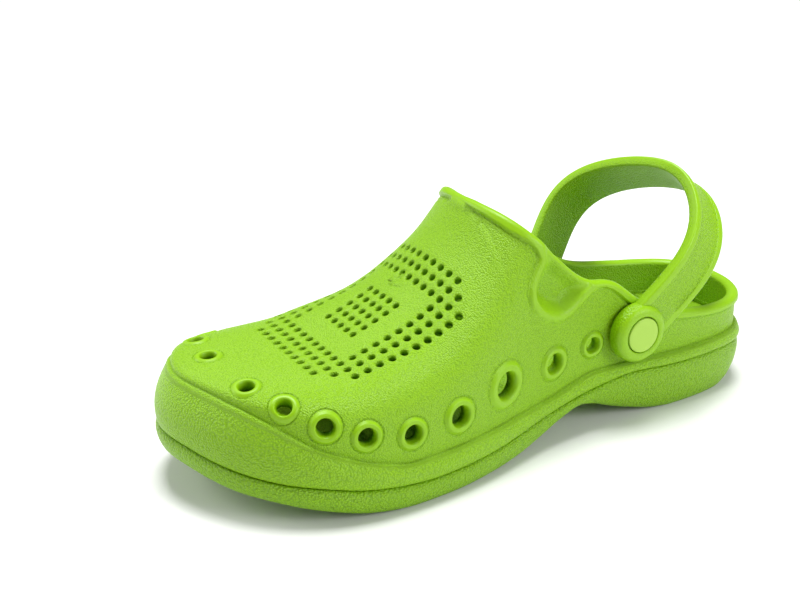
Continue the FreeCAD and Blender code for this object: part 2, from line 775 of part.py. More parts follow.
def make_button(sign):
    """Mushroom head, shank through strap and shell, stud for the cap."""
    top, under, shank_end, stud_end = button_planes(sign)
    button = along_x(0.5 * button_diameter, under, top)
    button = button.fuse(along_x(0.5 * shank_diameter, shank_end, under))
    button = button.fuse(along_x(0.5 * stud_diameter, stud_end, shank_end)).removeSplitter()
    rim = [e for e in button.Edges if abs(e.BoundBox.XMin - top) < 1e-6 and abs(e.BoundBox.XMax - top) < 1e-6]
    return button.makeFillet(0.4, rim)


def make_cap(sign):
    """Disc inside the shell, pressed on the button's stud."""
    shank_end, stud_end = button_planes(sign)[2:]
    far = shank_end - sign * cap_thickness
    cap = along_x(0.5 * cap_diameter, far, shank_end)
    cap = cap.cut(along_x(0.5 * stud_diameter, stud_end, shank_end))
    rim = [e for e in cap.Edges if abs(e.BoundBox.XMin - far) < 1e-6 and abs(e.BoundBox.XMax - far) < 1e-6]
    return cap.makeFillet(0.5, rim)


def main():
    pieces = {
        "outsole": make_outsole(),
        "upper_shell": make_shell(),
        "footbed": make_footbed(),
        "heel_strap": make_strap(),
        "rivet_button_lateral": make_button(1),
        "rivet_button_medial": make_button(-1),
        "rivet_cap_lateral": make_cap(1),
        "rivet_cap_medial": make_cap(-1),
    }
    os.makedirs("parts", exist_ok=True)
    for name, shape in pieces.items():
        if not shape.isValid() or len(shape.Solids) != 1:
            raise ValueError(name + " is not one valid solid")
        shape.exportStep("parts/" + name + ".step")
        print(name, round(shape.Volume))


main()
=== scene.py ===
import math
import bpy
import numpy as np
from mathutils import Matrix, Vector
from mathutils.geometry import delaunay_2d_cdt


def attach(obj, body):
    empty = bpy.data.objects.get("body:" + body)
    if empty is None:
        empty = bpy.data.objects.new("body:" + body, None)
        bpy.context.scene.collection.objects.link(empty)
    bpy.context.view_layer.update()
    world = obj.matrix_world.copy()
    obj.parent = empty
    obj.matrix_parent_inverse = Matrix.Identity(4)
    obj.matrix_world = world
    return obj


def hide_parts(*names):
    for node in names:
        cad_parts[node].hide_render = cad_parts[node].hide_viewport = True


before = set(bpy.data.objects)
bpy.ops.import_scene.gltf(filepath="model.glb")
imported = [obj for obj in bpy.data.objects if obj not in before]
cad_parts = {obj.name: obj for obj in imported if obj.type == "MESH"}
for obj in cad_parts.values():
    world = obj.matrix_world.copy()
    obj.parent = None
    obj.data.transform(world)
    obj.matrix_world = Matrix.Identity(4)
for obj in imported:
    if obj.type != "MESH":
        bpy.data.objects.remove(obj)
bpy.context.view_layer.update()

# Lengths are in millimetres until a mesh is made. A station is (run from the heel, side, height).
LENGTH = 288.5
WIDTH = 107.5
WALL = 4.5
OUTER_PLAN = [(0.0, 0.0), (0.010, 0.149), (0.042, 0.270), (0.114, 0.349), (0.239, 0.367),
              (0.360, 0.358), (0.464, 0.395), (0.568, 0.474), (0.672, 0.521), (0.759, 0.526),
              (0.835, 0.484), (0.898, 0.395), (0.950, 0.260), (0.984, 0.093)]
INNER_PLAN = [(1.0, -0.074), (0.991, -0.223), (0.960, -0.353), (0.898, -0.437), (0.794, -0.474),
              (0.690, -0.465), (0.586, -0.419), (0.482, -0.372), (0.360, -0.353), (0.239, -0.353),
              (0.114, -0.340), (0.042, -0.260), (0.010, -0.149)]
GROUND = [(0.0, 8.5), (0.042, 5.0), (0.069, 1.8), (0.100, 0.0), (0.200, 0.0), (0.232, 0.8),
          (0.284, 4.2), (0.319, 7.3), (0.357, 11.5), (0.385, 13.1), (0.426, 9.8),
          (0.464, 5.6), (0.516, 2.0), (0.589, 0.6), (0.641, 0.0), (0.711, 0.0),
          (0.787, 1.8), (0.825, 3.9), (0.870, 6.6), (0.915, 9.6), (0.950, 11.6),
          (0.974, 13.6), (1.0, 16.0)]
SEAM = [(0.0, 20.7), (0.125, 22.5), (0.208, 22.6), (0.284, 23.5), (0.360, 20.7),
        (0.416, 18.1), (0.478, 15.2), (0.572, 12.1), (0.676, 11.0), (0.745, 12.2),
        (0.790, 13.6), (0.846, 16.4), (0.901, 18.8), (0.943, 21.5), (0.970, 23.8),
        (1.0, 26.5)]
FEATHER = [(0.0, 27.9), (0.118, 28.7), (0.243, 28.8), (0.354, 28.8), (0.412, 25.5),
           (0.450, 23.2), (0.537, 22.2), (0.648, 21.1), (0.714, 20.9), (0.773, 24.4),
           (0.825, 29.8), (0.870, 35.7), (0.918, 43.8), (0.953, 48.0), (1.0, 50.5)]
RIDGE = [(0.0, 200.0), (0.378, 200.0), (0.447, 141.0), (0.516, 111.0),
         (0.551, 96.5), (0.593, 84.3), (0.627, 76.0), (0.672, 68.0), (0.724, 61.5),
         (0.780, 56.2), (0.830, 55.0), (1.0, 55.0)]
ARCH_POWER = [(0.40, 2.0), (0.52, 1.7), (0.65, 2.0), (0.80, 4.2), (1.0, 4.2)]
FEATHER_INSET = [(0.0, 2.0), (0.85, 2.0), (0.93, 4.5), (1.0, 7.0)]
COLLAR = [(-0.05, 44.0), (0.066, 44.1), (0.125, 45.0), (0.170, 46.7), (0.205, 48.4),
          (0.235, 50.8), (0.262, 54.5), (0.282, 58.5), (0.335, 69.4), (0.350, 70.6),
          (0.364, 71.2), (0.438, 86.5), (0.470, 96.2), (0.535, 108.5)]
VENTS = [(0.913, 54.0, 0.9), (0.885, 50.2, 0.9), (0.842, 42.6, 1.0),
         (0.788, 36.6, 1.0), (0.719, 33.2, 1.05), (0.638, 34.2, 1.2), (0.547, 39.1, 1.6),
         (0.443, 38.8, 1.2), (0.366, 41.4, 0.95)]
RISE_POWER = 3.7
SPINE_HEEL = 0.19
SPINE_TOE = 0.811
SPINE_LEAN = -0.02
SEAM_INSET = 0.8
FOOT_INSET = 7.5
FOOTBED = 5.0
FIELD_DEPTH = 2.5
PITCH = 5.43
HOLE_RADIUS = 1.6
HOLE_SEGMENTS = 16
RING_HOLES = 14             # small holes along a side of the square ring
BLOCK_HOLES = 5             # small holes along a side of the middle block
TOE_VENT = (0.922, -9.0, 0.9)
VENT_RADIUS = 7.0           # dish of a vent of size 1
SHELL_MIDDLE = (150.0, 0.0, 30.0)
CENTRE_SIDE = 0.5 * (max(x for _, x in OUTER_PLAN) + min(x for _, x in INNER_PLAN)) * WIDTH


def ease(table, at):
    """Cubic through the stations with harmonic-mean slopes, so it never overshoots; level past the ends.

    Between stations with values p, q, slopes u, v and gap h, at share t of the gap, the value is
    (2t^3-3t^2+1) p + (t^3-2t^2+t) h u + (3t^2-2t^3) q + (t^3-t^2) h v.
    """
    xs, ys = np.array(table, float).T
    step = np.diff(xs)
    slope = np.diff(ys) / step
    tangent = np.zeros(len(xs))
    a, b = slope[:-1], slope[1:]
    same = a * b > 0
    safe_a = np.where(same, a, 1.0)
    safe_b = np.where(same, b, 1.0)
    mean = (step[1:] + step[:-1]) / (step[1:] / safe_a + step[:-1] / safe_b)
    tangent[1:-1] = np.where(same, mean, 0.0)
    at = np.clip(np.asarray(at, float), xs[0], xs[-1])
    k = np.clip(np.searchsorted(xs, at, side="right") - 1, 0, len(xs) - 2)
    h = step[k]
    t = (at - xs[k]) / h
    return ((2 * t**3 - 3 * t**2 + 1) * ys[k] + (t**3 - 2 * t**2 + t) * tangent[k] * h
            + (3 * t**2 - 2 * t**3) * ys[k + 1] + (t**3 - t**2) * tangent[k + 1] * h)


def smooth_step(low, high, x):
    """0 below low, 1 above high, with a smooth cubic between."""
    t = np.clip((x - low) / (high - low), 0.0, 1.0)
    return t * t * (3 - 2 * t)


def closed_outline(samples):
    """Periodic cubic spline through the plan points, by chord length, as (run, side) rows."""
    points = np.array([(r * LENGTH, x * WIDTH) for r, x in OUTER_PLAN + INNER_PLAN])
    n = len(points)
    h = np.linalg.norm(np.roll(points, -1, 0) - points, axis=1)
    hb = np.roll(h, 1)
    m = np.zeros((n, n))
    i = np.arange(n)
    m[i, i] = 2 * (hb + h)
    m[i, (i - 1) % n] += hb
    m[i, (i + 1) % n] += h
    d = (np.roll(points, -1, 0) - points) / h[:, None]
    second = np.linalg.solve(m, 6 * (d - np.roll(d, 1, 0)))
    t = np.tile(np.linspace(0, 1, samples, endpoint=False), n)
    k = np.repeat(i, samples)
    k2 = (k + 1) % n
    hk = h[k][:, None]
    a = (1 - t)[:, None]
    b = t[:, None]
    return (a * points[k] + b * points[k2]
            + hk**2 / 6 * ((a**3 - a) * second[k] + (b**3 - b) * second[k2]))


def stations_table():
    """Dense table round the outline by arc length: run, side, outward run, outward side."""
    ring = closed_outline(160)
    seg = np.linalg.norm(np.roll(ring, -1, 0) - ring, axis=1)
    arc = np.concatenate([[0], np.cumsum(seg)])
    want = arc[-1] * np.arange(4000) / 4000
    wrapped = np.vstack([ring, ring[:1]])
    out = np.stack([np.interp(want, arc, wrapped[:, 0]), np.interp(want, arc, wrapped[:, 1])], 1)
    d = np.roll(out, -1, 0) - np.roll(out, 1, 0)
    d /= np.linalg.norm(d, axis=1)[:, None]
    return np.column_stack([out, -d[:, 1], d[:, 0]]), arc[-1]


RING, GIRTH = stations_table()


def station(turn):
    """Outline station at turn (0 heel middle, 0.25 outer side, 0.5 toe, wraps at 1)."""
    x = np.asarray(turn, float) % 1.0 * len(RING)
    k = np.floor(x).astype(int) % len(RING)
    t = (x - np.floor(x))[..., None]
    s = RING[k] * (1 - t) + RING[(k + 1) % len(RING)] * t
    return s[..., 0], s[..., 1], s[..., 2], s[..., 3]


def spine_run(run):
    """Softly clamped run: where on the middle ridge a station's arch ends."""
    f = run / LENGTH
    d = f - SPINE_TOE
    f = SPINE_TOE + 0.5 * (d - np.sqrt(d * d + 0.0025))
    d = f - SPINE_HEEL
    f = SPINE_HEEL + 0.5 * (d + np.sqrt(d * d + 0.0025))
    return f * LENGTH


def spine_side(run):
    """Side coordinate of the middle ridge: it leans a little inward ahead of the arch."""
    return SPINE_LEAN * WIDTH * np.clip((run / LENGTH - 0.4) / 0.3, 0, 1)


def arch_ends(turn):
    """Foot and top of the arch at a turn, its heights and its boxiness."""
    run, side, nr, ns = station(turn)
    f = run / LENGTH
    inset = ease(FEATHER_INSET, f) + 1.0
    top = spine_run(run)
    return (run - nr * inset, side - ns * inset, top, spine_side(top), ease(FEATHER, f),
            ease(RIDGE, top / LENGTH), ease(ARCH_POWER, top / LENGTH))


def arch(turn, angle):
    """Superellipse from the feather line (angle 0) to the ridge (pi/2), between plan foot and top.

    Plan share from the top is cos(angle)^(2/power); rise share is sin(angle)^(2/RISE_POWER).
    """
    fr, fs, tr, ts, low, high, power = arch_ends(turn)
    c = np.maximum(np.cos(angle), 0.0)**(2 / power)
    s = np.maximum(np.sin(angle), 0.0)**(2 / RISE_POWER)
    return np.stack([tr + (fr - tr) * c, ts + (fs - ts) * c, low + (high - low) * s], -1)


def lift(run, side):
    """Height of the shell over plan points: finds the arch whose plan line passes through each one."""
    turns = (np.arange(720) + 0.5) / 720
    fr, fs, tr, ts, low, high, power = arch_ends(turns)
    run = np.asarray(run, float).ravel()
    side = np.asarray(side, float).ravel()
    out = np.zeros(len(run))
    for start in range(0, len(run), 4000):
        r = run[start:start + 4000, None]
        s = side[start:start + 4000, None]
        cross = (fr - tr) * (s - ts) - (fs - ts) * (r - tr)
        ahead = (fr - tr) * (r - tr) + (fs - ts) * (s - ts)
        nxt = np.roll(cross, -1, 1)
        hit = (cross * nxt <= 0) & (ahead > -1e-9) & (np.roll(ahead, -1, 1) > -1e-9)
        k = np.argmax(hit, 1)
        i = np.arange(len(k))
        c0 = cross[i, k]
        c1 = nxt[i, k]
        t = c0 / np.where(np.abs(c0 - c1) < 1e-12, 1.0, c0 - c1)
        turn = (turns[k] + t / 720) % 1.0
        gr, gs, ur, us, lo, hi, po = arch_ends(turn)
        share = np.hypot(r[:, 0] - ur, s[:, 0] - us) / np.hypot(gr - ur, gs - us)
        c = np.clip(share, 0, 1)**(po / 2)
        out[start:start + 4000] = lo + (hi - lo) * np.sqrt(np.maximum(1 - c * c, 0))**(2 / RISE_POWER)
    return out


def place(points):
    """Row-frame metres from (run, side, height) millimetres."""
    p = np.asarray(points, float)
    return np.stack([p[..., 1] - CENTRE_SIDE, 0.5 * LENGTH - p[..., 0], p[..., 2]], -1) * 0.001


def make_object(name, points, faces, material, body, node, attributes=None):
    """Mesh object from row-frame points (metres) and quads or triangles given as index arrays."""
    mesh = bpy.data.meshes.new(name)
    groups = faces if isinstance(faces, list) else [faces]
    counts = np.concatenate([np.full(len(f), f.shape[1]) for f in groups])
    loops = np.concatenate([f.ravel() for f in groups])
    mesh.vertices.add(len(points))
    mesh.vertices.foreach_set("co", np.ascontiguousarray(points, np.float32).ravel())
    mesh.loops.add(len(loops))
    mesh.loops.foreach_set("vertex_index", loops.astype(np.int32))
    mesh.polygons.add(len(counts))
    starts = np.concatenate([[0], np.cumsum(counts)[:-1]])
    mesh.polygons.foreach_set("loop_start", starts.astype(np.int32))
    mesh.polygons.foreach_set("use_smooth", np.full(len(counts), True))
    for key, values in (attributes or {}).items():
        layer = mesh.attributes.new(key, "FLOAT", "POINT")
        layer.data.foreach_set("value", np.asarray(values, np.float32))
    mesh.update(calc_edges=True)
    mesh.validate()
    obj = bpy.data.objects.new(name, mesh)
    bpy.context.scene.collection.objects.link(obj)
    mesh.materials.append(material)
    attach(obj, body)
    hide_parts(node)
    return obj


def quads_over(index):
    """Quads between neighbours of a two-way table of vertex indices."""
    corners = [index[:-1, :-1], index[:-1, 1:], index[1:, 1:], index[1:, :-1]]
    return np.stack(corners, -1).reshape(-1, 4)


def grid_faces(rows, columns, wrap=False, close=False):
    """Quads over a rows x columns grid; wrap joins the last column to the first, close the last row."""
    index = np.arange(rows * columns).reshape(rows, columns)
    if close:
        index = np.vstack([index, index[:1]])
    if wrap:
        index = np.hstack([index, index[:, :1]])
    return quads_over(index)


def halves(quads):
    """Both triangles of every quad."""
    return np.vstack([quads[:, [0, 1, 2]], quads[:, [0, 2, 3]]])


def facing(triangles, flat):
    """Triangles turned so that each runs anticlockwise in its plane coordinates."""
    a, b, c = flat[triangles[:, 0]], flat[triangles[:, 1]], flat[triangles[:, 2]]
    area = np.cross(b - a, c - a)
    return np.where((area > 0)[:, None], triangles, triangles[:, ::-1])


def anticlockwise(border, flat):
    """Border loop turned anticlockwise in the plane, and its plane coordinates."""
    x, y = flat[border].T
    if np.sum(x * np.roll(y, -1) - y * np.roll(x, -1)) < 0:
        border = border[::-1]
    return border, flat[border]


def circle_of(segments, offset=0.0):
    """Unit circle points, starting offset steps round."""
    around = (np.arange(segments) + offset) * 2 * math.pi / segments
    return np.column_stack([np.cos(around), np.sin(around)])


# ---- lines drawn on the shell, in its side view (run, height) ----

def side_curve(knots, samples=12):
    """Smooth open curve through side-view knots a, b, c, d ...: Catmull-Rom pieces, as (run, height) rows.

    From b to c it is (2b + (c-a) t + (2a-5b+4c-d) t^2 + (3b-a-3c+d) t^3) / 2.
    """
    p = np.array(knots, float)
    p = np.vstack([2 * p[0] - p[1], p, 2 * p[-1] - p[-2]])
    t = np.linspace(0, 1, samples, endpoint=False)[:, None]
    rows = [0.5 * (2 * b + (c - a) * t + (2 * a - 5 * b + 4 * c - d) * t**2
                   + (3 * b - a - 3 * c + d) * t**3)
            for a, b, c, d in zip(p[:-3], p[1:-2], p[2:-1], p[3:])]
    return np.vstack(rows + [p[-2:-1]])


def distance_to_line(points, line):
    """Shortest distance of 2-D points to a polyline."""
    out = np.full(len(points), 1e9)
    for a, b in zip(line[:-1], line[1:]):
        ab = b - a
        t = np.clip(((points - a) @ ab) / max(ab @ ab, 1e-12), 0, 1)
        out = np.minimum(out, np.hypot(*(points - a - t[:, None] * ab).T))
    return out


def inside_loop(points, loop):
    """Even-odd test of 2-D points against a closed polygon."""
    a = loop
    b = np.roll(loop, -1, 0)
    result = np.zeros(len(points), bool)
    for (ax, ay), (bx, by) in zip(a, b):
        spans = (ay > points[:, 1]) != (by > points[:, 1])
        if by != ay:
            result ^= spans & (points[:, 0] < (bx - ax) * (points[:, 1] - ay) / (by - ay) + ax)
    return result


COLLAR_F = np.linspace(COLLAR[0][0], COLLAR[-1][0], 260)
COLLAR_LINE = np.column_stack([COLLAR_F * LENGTH, ease(COLLAR, COLLAR_F)])
COLLAR_ZONE = np.vstack([COLLAR_LINE, [(200.0, 160.0), (-40.0, 160.0)]])
LIP_LINE = side_curve([(156.2, 108.6), (150.7, 104.0), (146.2, 99.4), (139.0, 94.0), (136.4, 88.0),
                       (139.6, 82.5), (142.6, 76.5), (141.8, 69.0), (134.0, 61.3), (123.5, 58.3),
                       (115.5, 61.8), (109.1, 66.2), (102.6, 68.6), (95.0, 65.3), (86.0, 57.6),
                       (78.0, 52.4), (66.0, 46.6), (50.0, 43.4), (30.0, 41.2), (10.0, 40.6),
                       (-12.0, 40.5)], 6)
SCOOP_ZONE = np.vstack([LIP_LINE, [(-40.0, 160.0), (200.0, 160.0)]])


def below_collar(points):
    """Distance under the collar line in the side view; negative above it."""
    flat = points.reshape(-1, 3)[:, [0, 2]]
    d = distance_to_line(flat, COLLAR_LINE[::3])
    return np.where(inside_loop(flat, COLLAR_ZONE), -d, d).reshape(points.shape[:-1])


# ---- the shell ----

RIM = 0.5 * WALL
RIM_STEPS = 8
SCOOP_DEPTH = 4.6
LIP_HEIGHT = 1.3
BAND_BULGE = 0.8
BAND_GROOVE = 1.1
BAND_LEVELS = np.array([0.0, 0.02, 0.06, 0.12, 0.2, 0.3, 0.42, 0.54,
                        0.66, 0.76, 0.84, 0.9, 0.94, 0.97, 0.99, 1.0])
ARCH_ROWS = 64
BACK_COLUMNS = 140
FRONT_COLUMNS = 88


def band(turn, level):
    """Bumper band between the sole groove (level 0) and the feather ridge (level 1).

    Its inset is SEAM_INSET (1-level)^4 + feather inset * level^2 - BAND_BULGE sin(pi level), with a bell
    of BAND_GROOVE at the foot and a low bead just under the ridge.
    """
    run, side, nr, ns = station(turn)
    f = run / LENGTH
    low = ease(SEAM, f)
    high = ease(FEATHER, f)
    inset = SEAM_INSET * (1 - level)**4 + ease(FEATHER_INSET, f) * level**2 - BAND_BULGE * np.sin(math.pi * level)
    inset = inset + BAND_GROOVE * np.exp(-(level * (high - low) / 0.55)**2)
    inset = inset - 0.35 * np.exp(-(((1 - level) * (high - low) - 0.9) / 0.6)**2)
    return np.stack([run - nr * inset, side - ns * inset, low + (high - low) * level], -1)


def shell_columns():
    """Turns of the outer and inner columns, heel to toe, paired past the throat by their ridge run."""
    ridge_runs = np.linspace(0.50, 0.60, 2001) * LENGTH
    ridge = np.stack([ridge_runs, 0 * ridge_runs, ease(RIDGE, ridge_runs / LENGTH)], -1)
    gap = below_collar(ridge)
    throat = ridge_runs[np.argmax(gap > RIM)]
    toe = np.argmax(RING[:, 0]) / len(RING)
    toe_index = int(toe * len(RING))
    ends = spine_run(RING[:, 0])
    outer_throat = np.interp(throat, ends[:toe_index], np.arange(toe_index)) / len(RING)
    throat_run = station(outer_throat)[0]
    even = np.linspace(0, 1, BACK_COLUMNS + 1)
    crowded = np.interp(even, (0, 0.13, 0.32, 1), (0, 0.3, 0.6, 1))
    back_outer = outer_throat * crowded
    front_outer = np.linspace(outer_throat, toe, FRONT_COLUMNS + 1)[1:]
    inner_half = RING[toe_index:]
    turns = np.arange(toe_index, len(RING)) / len(RING)

    def inner_turn(run):
        return np.interp(-run, -inner_half[:, 0], turns)

    back_inner = 1.0 + (inner_turn(throat_run) - 1.0) * crowded
    front_inner = inner_turn(station(front_outer)[0])
    front_inner[-1] = toe
    return np.concatenate([back_outer, front_outer]), np.concatenate([back_inner, front_inner])


def arch_angles(turns):
    """Angles of evenly spread rows up each column, ending RIM under the collar or at the ridge."""
    t = np.linspace(0, 1, 260)
    angle = 0.5 * math.pi * t**1.6
    points = arch(turns[:, None], angle[None, :])
    under = below_collar(points) - RIM
    length = np.concatenate([np.zeros((len(turns), 1)),
                             np.cumsum(np.linalg.norm(np.diff(points, axis=1), axis=2), 1)], 1)
    spread = np.linspace(0, 1, ARCH_ROWS)
    spread = spread - 0.06 * np.sin(2 * math.pi * spread)
    out = np.zeros((len(turns), ARCH_ROWS))
    for i in range(len(turns)):
        end = length[i, -1]
        over = np.nonzero(under[i] < 0)[0]
        if len(over):
            k = over[0]
            share = under[i, k - 1] / (under[i, k - 1] - under[i, k])
            end = length[i, k - 1] + share * (length[i, k] - length[i, k - 1])
        out[i] = np.interp(spread * end, length[i], angle)
    return out


def vertex_normals(points, triangles):
    """Area-weighted vertex normals of a triangle mesh."""
    a, b, c = points[triangles[:, 0]], points[triangles[:, 1]], points[triangles[:, 2]]
    n = np.cross(b - a, c - a)
    out = np.zeros_like(points)
    for k in range(3):
        np.add.at(out, triangles[:, k], n)
    return out / np.maximum(np.linalg.norm(out, axis=1), 1e-12)[:, None]


def open_edges(triangles):
    """Directed edges that only one triangle uses."""
    edges = np.vstack([triangles[:, [0, 1]], triangles[:, [1, 2]], triangles[:, [2, 0]]]).astype(np.int64)
    size = int(triangles.max()) + 1
    keys = edges[:, 0] * size + edges[:, 1]
    back = edges[:, 1] * size + edges[:, 0]
    return edges[~np.isin(keys, back)]


def loops_of(edges):
    """Chains directed open edges into closed vertex loops."""
    following = dict(edges.tolist())
    loops = []
    while following:
        start, here = next(iter(following.items()))
        loop = [start]
        del following[start]
        while here != start and here in following:
            loop.append(here)
            here = following.pop(here)
        loops.append(np.array(loop))
    return loops


def fill_between(outer, circles, extra):
    """Constrained triangulation in a plane: inside the outer loop, outside the circles.

    Returns (coordinates, triangles, index of each input point); inputs are 2-D arrays.
    """
    coords = [outer] + circles + ([extra] if len(extra) else [])
    flat = np.vstack(coords)
    edges = []
    at = 0
    for loop in [outer] + circles:
        n = len(loop)
        edges += [(at + i, at + (i + 1) % n) for i in range(n)]
        at += n
    result = delaunay_2d_cdt([Vector(p) for p in flat], edges, [], 0, 1e-7)
    verts = np.array([tuple(v) for v in result[0]])
    triangles = np.array(result[2])
    came_from = np.full(len(flat), -1)
    for new, olds in enumerate(result[3]):
        for old in olds:
            came_from[old] = new
    middle = verts[triangles].mean(1)
    keep = inside_loop(middle, outer)
    for circle in circles:
        centre = circle.mean(0)
        radius = np.linalg.norm(circle - centre, axis=1).min()
        keep &= ~((np.linalg.norm(middle - centre, axis=1) < radius * 1.02) & inside_loop(middle, circle))
    return verts, triangles[keep], came_from


def perforation_places():
    """Pattern-plane centres of the small holes: a ring three wide with clipped corners, a 5 x 5 block."""
    last = RING_HOLES - 1
    i, j = np.meshgrid(np.arange(RING_HOLES), np.arange(RING_HOLES), indexing="ij")
    ei = np.minimum(i, last - i)
    ej = np.minimum(j, last - j)
    ring = (np.minimum(ei, ej) < 3) & (ei + ej >= 2)
    outer = np.column_stack([i[ring] - 0.5 * last, j[ring] - 0.5 * last])
    block = np.arange(BLOCK_HOLES) - 0.5 * (BLOCK_HOLES - 1)
    k, m = np.meshgrid(block, block, indexing="ij")
    return np.vstack([outer, np.column_stack([k.ravel(), m.ravel()])]) * PITCH


PLANE_SLOPE = math.radians(32.0)
PLANE_RUN = 200.6
PLANE_BASE = float(ease(RIDGE, PLANE_RUN / LENGTH))


def plane_coordinates(points):
    """(along, across) of stations in the tilted plane of the perforations."""
    along = ((points[:, 0] - PLANE_RUN) * math.cos(PLANE_SLOPE)
             - (points[:, 2] - PLANE_BASE) * math.sin(PLANE_SLOPE))
    return np.column_stack([along, points[:, 1]])


def plane_to_shell(flat):
    """Stations on the shell straight above plane coordinates: fixed-slope Newton along the plane's normal."""
    w = np.zeros(len(flat))
    for _ in range(7):
        run = PLANE_RUN + flat[:, 0] * math.cos(PLANE_SLOPE) + w * math.sin(PLANE_SLOPE)
        height = PLANE_BASE - flat[:, 0] * math.sin(PLANE_SLOPE) + w * math.cos(PLANE_SLOPE)
        w = w - (height - lift(run, flat[:, 1])) * math.cos(PLANE_SLOPE)
    run = PLANE_RUN + flat[:, 0] * math.cos(PLANE_SLOPE) + w * math.sin(PLANE_SLOPE)
    return np.column_stack([run, flat[:, 1], lift(run, flat[:, 1])])


def vent_centres():
    """(turn, angle, size) of every vent: both sides, and one at the toe's middle."""
    toe = np.argmax(RING[:, 0]) / len(RING)
    vents = []
    for outer in (True, False):
        turns = np.linspace(0.0, toe, 3000) if outer else np.linspace(toe, 1.0, 3000)
        fr, fs, tr, ts, low, high, power = arch_ends(turns)
        for fraction, height, size in VENTS:
            share = np.clip((height - low) / (high - low), 0, 1)
            angle = np.arcsin(share**(RISE_POWER / 2))
            here = arch(turns, angle)
            miss = np.abs(here[:, 0] - fraction * LENGTH) + np.where((share > 0) & (share < 1), 0, 1e3)
            k = np.argmin(miss)
            vents.append((turns[k], angle[k], size))
    turns = np.linspace(toe - 0.06, toe + 0.06, 2001)
    angles = np.radians(np.linspace(20, 89, 300))
    here = arch(turns[:, None], angles[None, :])
    toe_run = TOE_VENT[0] * LENGTH
    target = np.array([toe_run, float(spine_side(toe_run)) + TOE_VENT[1]])
    miss = np.hypot(here[..., 0] - target[0], here[..., 1] - target[1])
    i, j = np.unravel_index(np.argmin(miss), miss.shape)
    vents.append((turns[i], angles[j], TOE_VENT[2]))
    return vents


def near_surface(turn, angle, targets, e1, e2, centre):
    """(turn, angle) whose surface point projects onto tangent-plane targets: Newton with numeric slopes."""
    x = np.tile([turn, angle], (len(targets), 1)).astype(float)
    for _ in range(9):
        p = arch(x[:, 0], x[:, 1]) - centre
        f = np.column_stack([p @ e1, p @ e2]) - targets
        a = arch(x[:, 0] + 1e-5, x[:, 1]) - centre - p
        b = arch(x[:, 0], x[:, 1] + 1e-4) - centre - p
        a11, a21 = a @ e1 / 1e-5, a @ e2 / 1e-5
        a12, a22 = b @ e1 / 1e-4, b @ e2 / 1e-4
        det = a11 * a22 - a12 * a21
        x[:, 0] -= (a22 * f[:, 0] - a12 * f[:, 1]) / det
        x[:, 1] -= (a11 * f[:, 1] - a21 * f[:, 0]) / det
        x[:, 1] = np.clip(x[:, 1], 1e-4, 0.5 * math.pi - 1e-4)
    return arch(x[:, 0], x[:, 1])


VENT_SEGMENTS = 36
VENT_RADII = [1.1, 1.05, 1.02, 0.99, 0.96, 0.91, 0.86, 0.81, 0.76, 0.71,
              0.65, 0.59, 0.545, 0.515, 0.5]


def vent_depth(share, dished):
    """Depth of a vent by its radius over the dish radius: groove, flat, raised ring, cone, rounded mouth."""
    groove = 0.5 * np.exp(-((share - 1.0) / 0.03)**2)
    ring_height = 0.55 if dished else 1.0
    ring = -ring_height * smooth_step(0.93, 0.8, share) * smooth_step(0.45, 0.62, share)
    cone = 1.3 * (1 - smooth_step(0.47, 0.62, share))
    mouth = 0.8 * (1 - smooth_step(0.49, 0.53, share))
    return groove + ring + cone + mouth


def vent_patches(points, triangles):
    """Cuts each vent's disc out of the sheet and sets in its rings.

    Returns points, triangles, the push of each point and how free of grain it is.
    """
    push = np.zeros_like(points)
    sleek = np.zeros(len(points))
    for index, (turn, angle, size) in enumerate(vent_centres()):
        centre = arch(turn, angle)
        d1 = arch(turn + 1e-4, angle) - centre
        d2 = arch(turn, angle + 1e-3) - centre
        normal = np.cross(d1, d2)
        normal /= np.linalg.norm(normal)
        if normal @ (centre - np.array([centre[0], 0.0, 20.0])) < 0:
            normal = -normal
        e1 = d1 / np.linalg.norm(d1)
        e2 = np.cross(normal, e1)
        radius = VENT_RADIUS * size
        local = points - centre
        flat = np.column_stack([local @ e1, local @ e2])
        close = (np.hypot(flat[:, 0], flat[:, 1]) < radius * 1.12 + 0.45) & (np.abs(local @ normal) < 9.0)
        used = close[triangles].any(1)
        cut_edges = open_edges(triangles[used])
        border = max(loops_of(cut_edges), key=len)
        triangles = triangles[~used]
        circle = circle_of(VENT_SEGMENTS)
        border, loop_flat = anticlockwise(border, flat)
        ring_flat = circle * radius * VENT_RADII[0]
        verts, fill, came = fill_between(loop_flat, [ring_flat], np.zeros((0, 2)))
        rings = np.array(VENT_RADII)[:, None, None] * circle[None] * radius
        dished = index % len(VENTS) < 2 or index == 2 * len(VENTS)
        new_points = near_surface(turn, angle, rings.reshape(-1, 2), e1, e2, centre)
        start = len(points)
        table = np.full(len(verts), -1)
        table[came[:len(border)]] = border
        table[came[len(border):]] = start + np.arange(VENT_SEGMENTS)
        flat_all = np.vstack([flat, (new_points - centre) @ np.column_stack([e1, e2])])
        rings_faces = halves(grid_faces(len(VENT_RADII), VENT_SEGMENTS, wrap=True) + start)
        triangles = np.vstack([triangles, facing(table[fill], flat_all), facing(rings_faces, flat_all)])
        depth = np.repeat(vent_depth(np.array(VENT_RADII), dished), VENT_SEGMENTS)
        points = np.vstack([points, new_points])
        push = np.vstack([push, -normal[None] * depth[:, None]])
        shares = np.repeat(np.array(VENT_RADII), VENT_SEGMENTS)
        sleek = np.concatenate([sleek, 1 - smooth_step(0.9, 0.98, shares)])
    return points, triangles, push, sleek


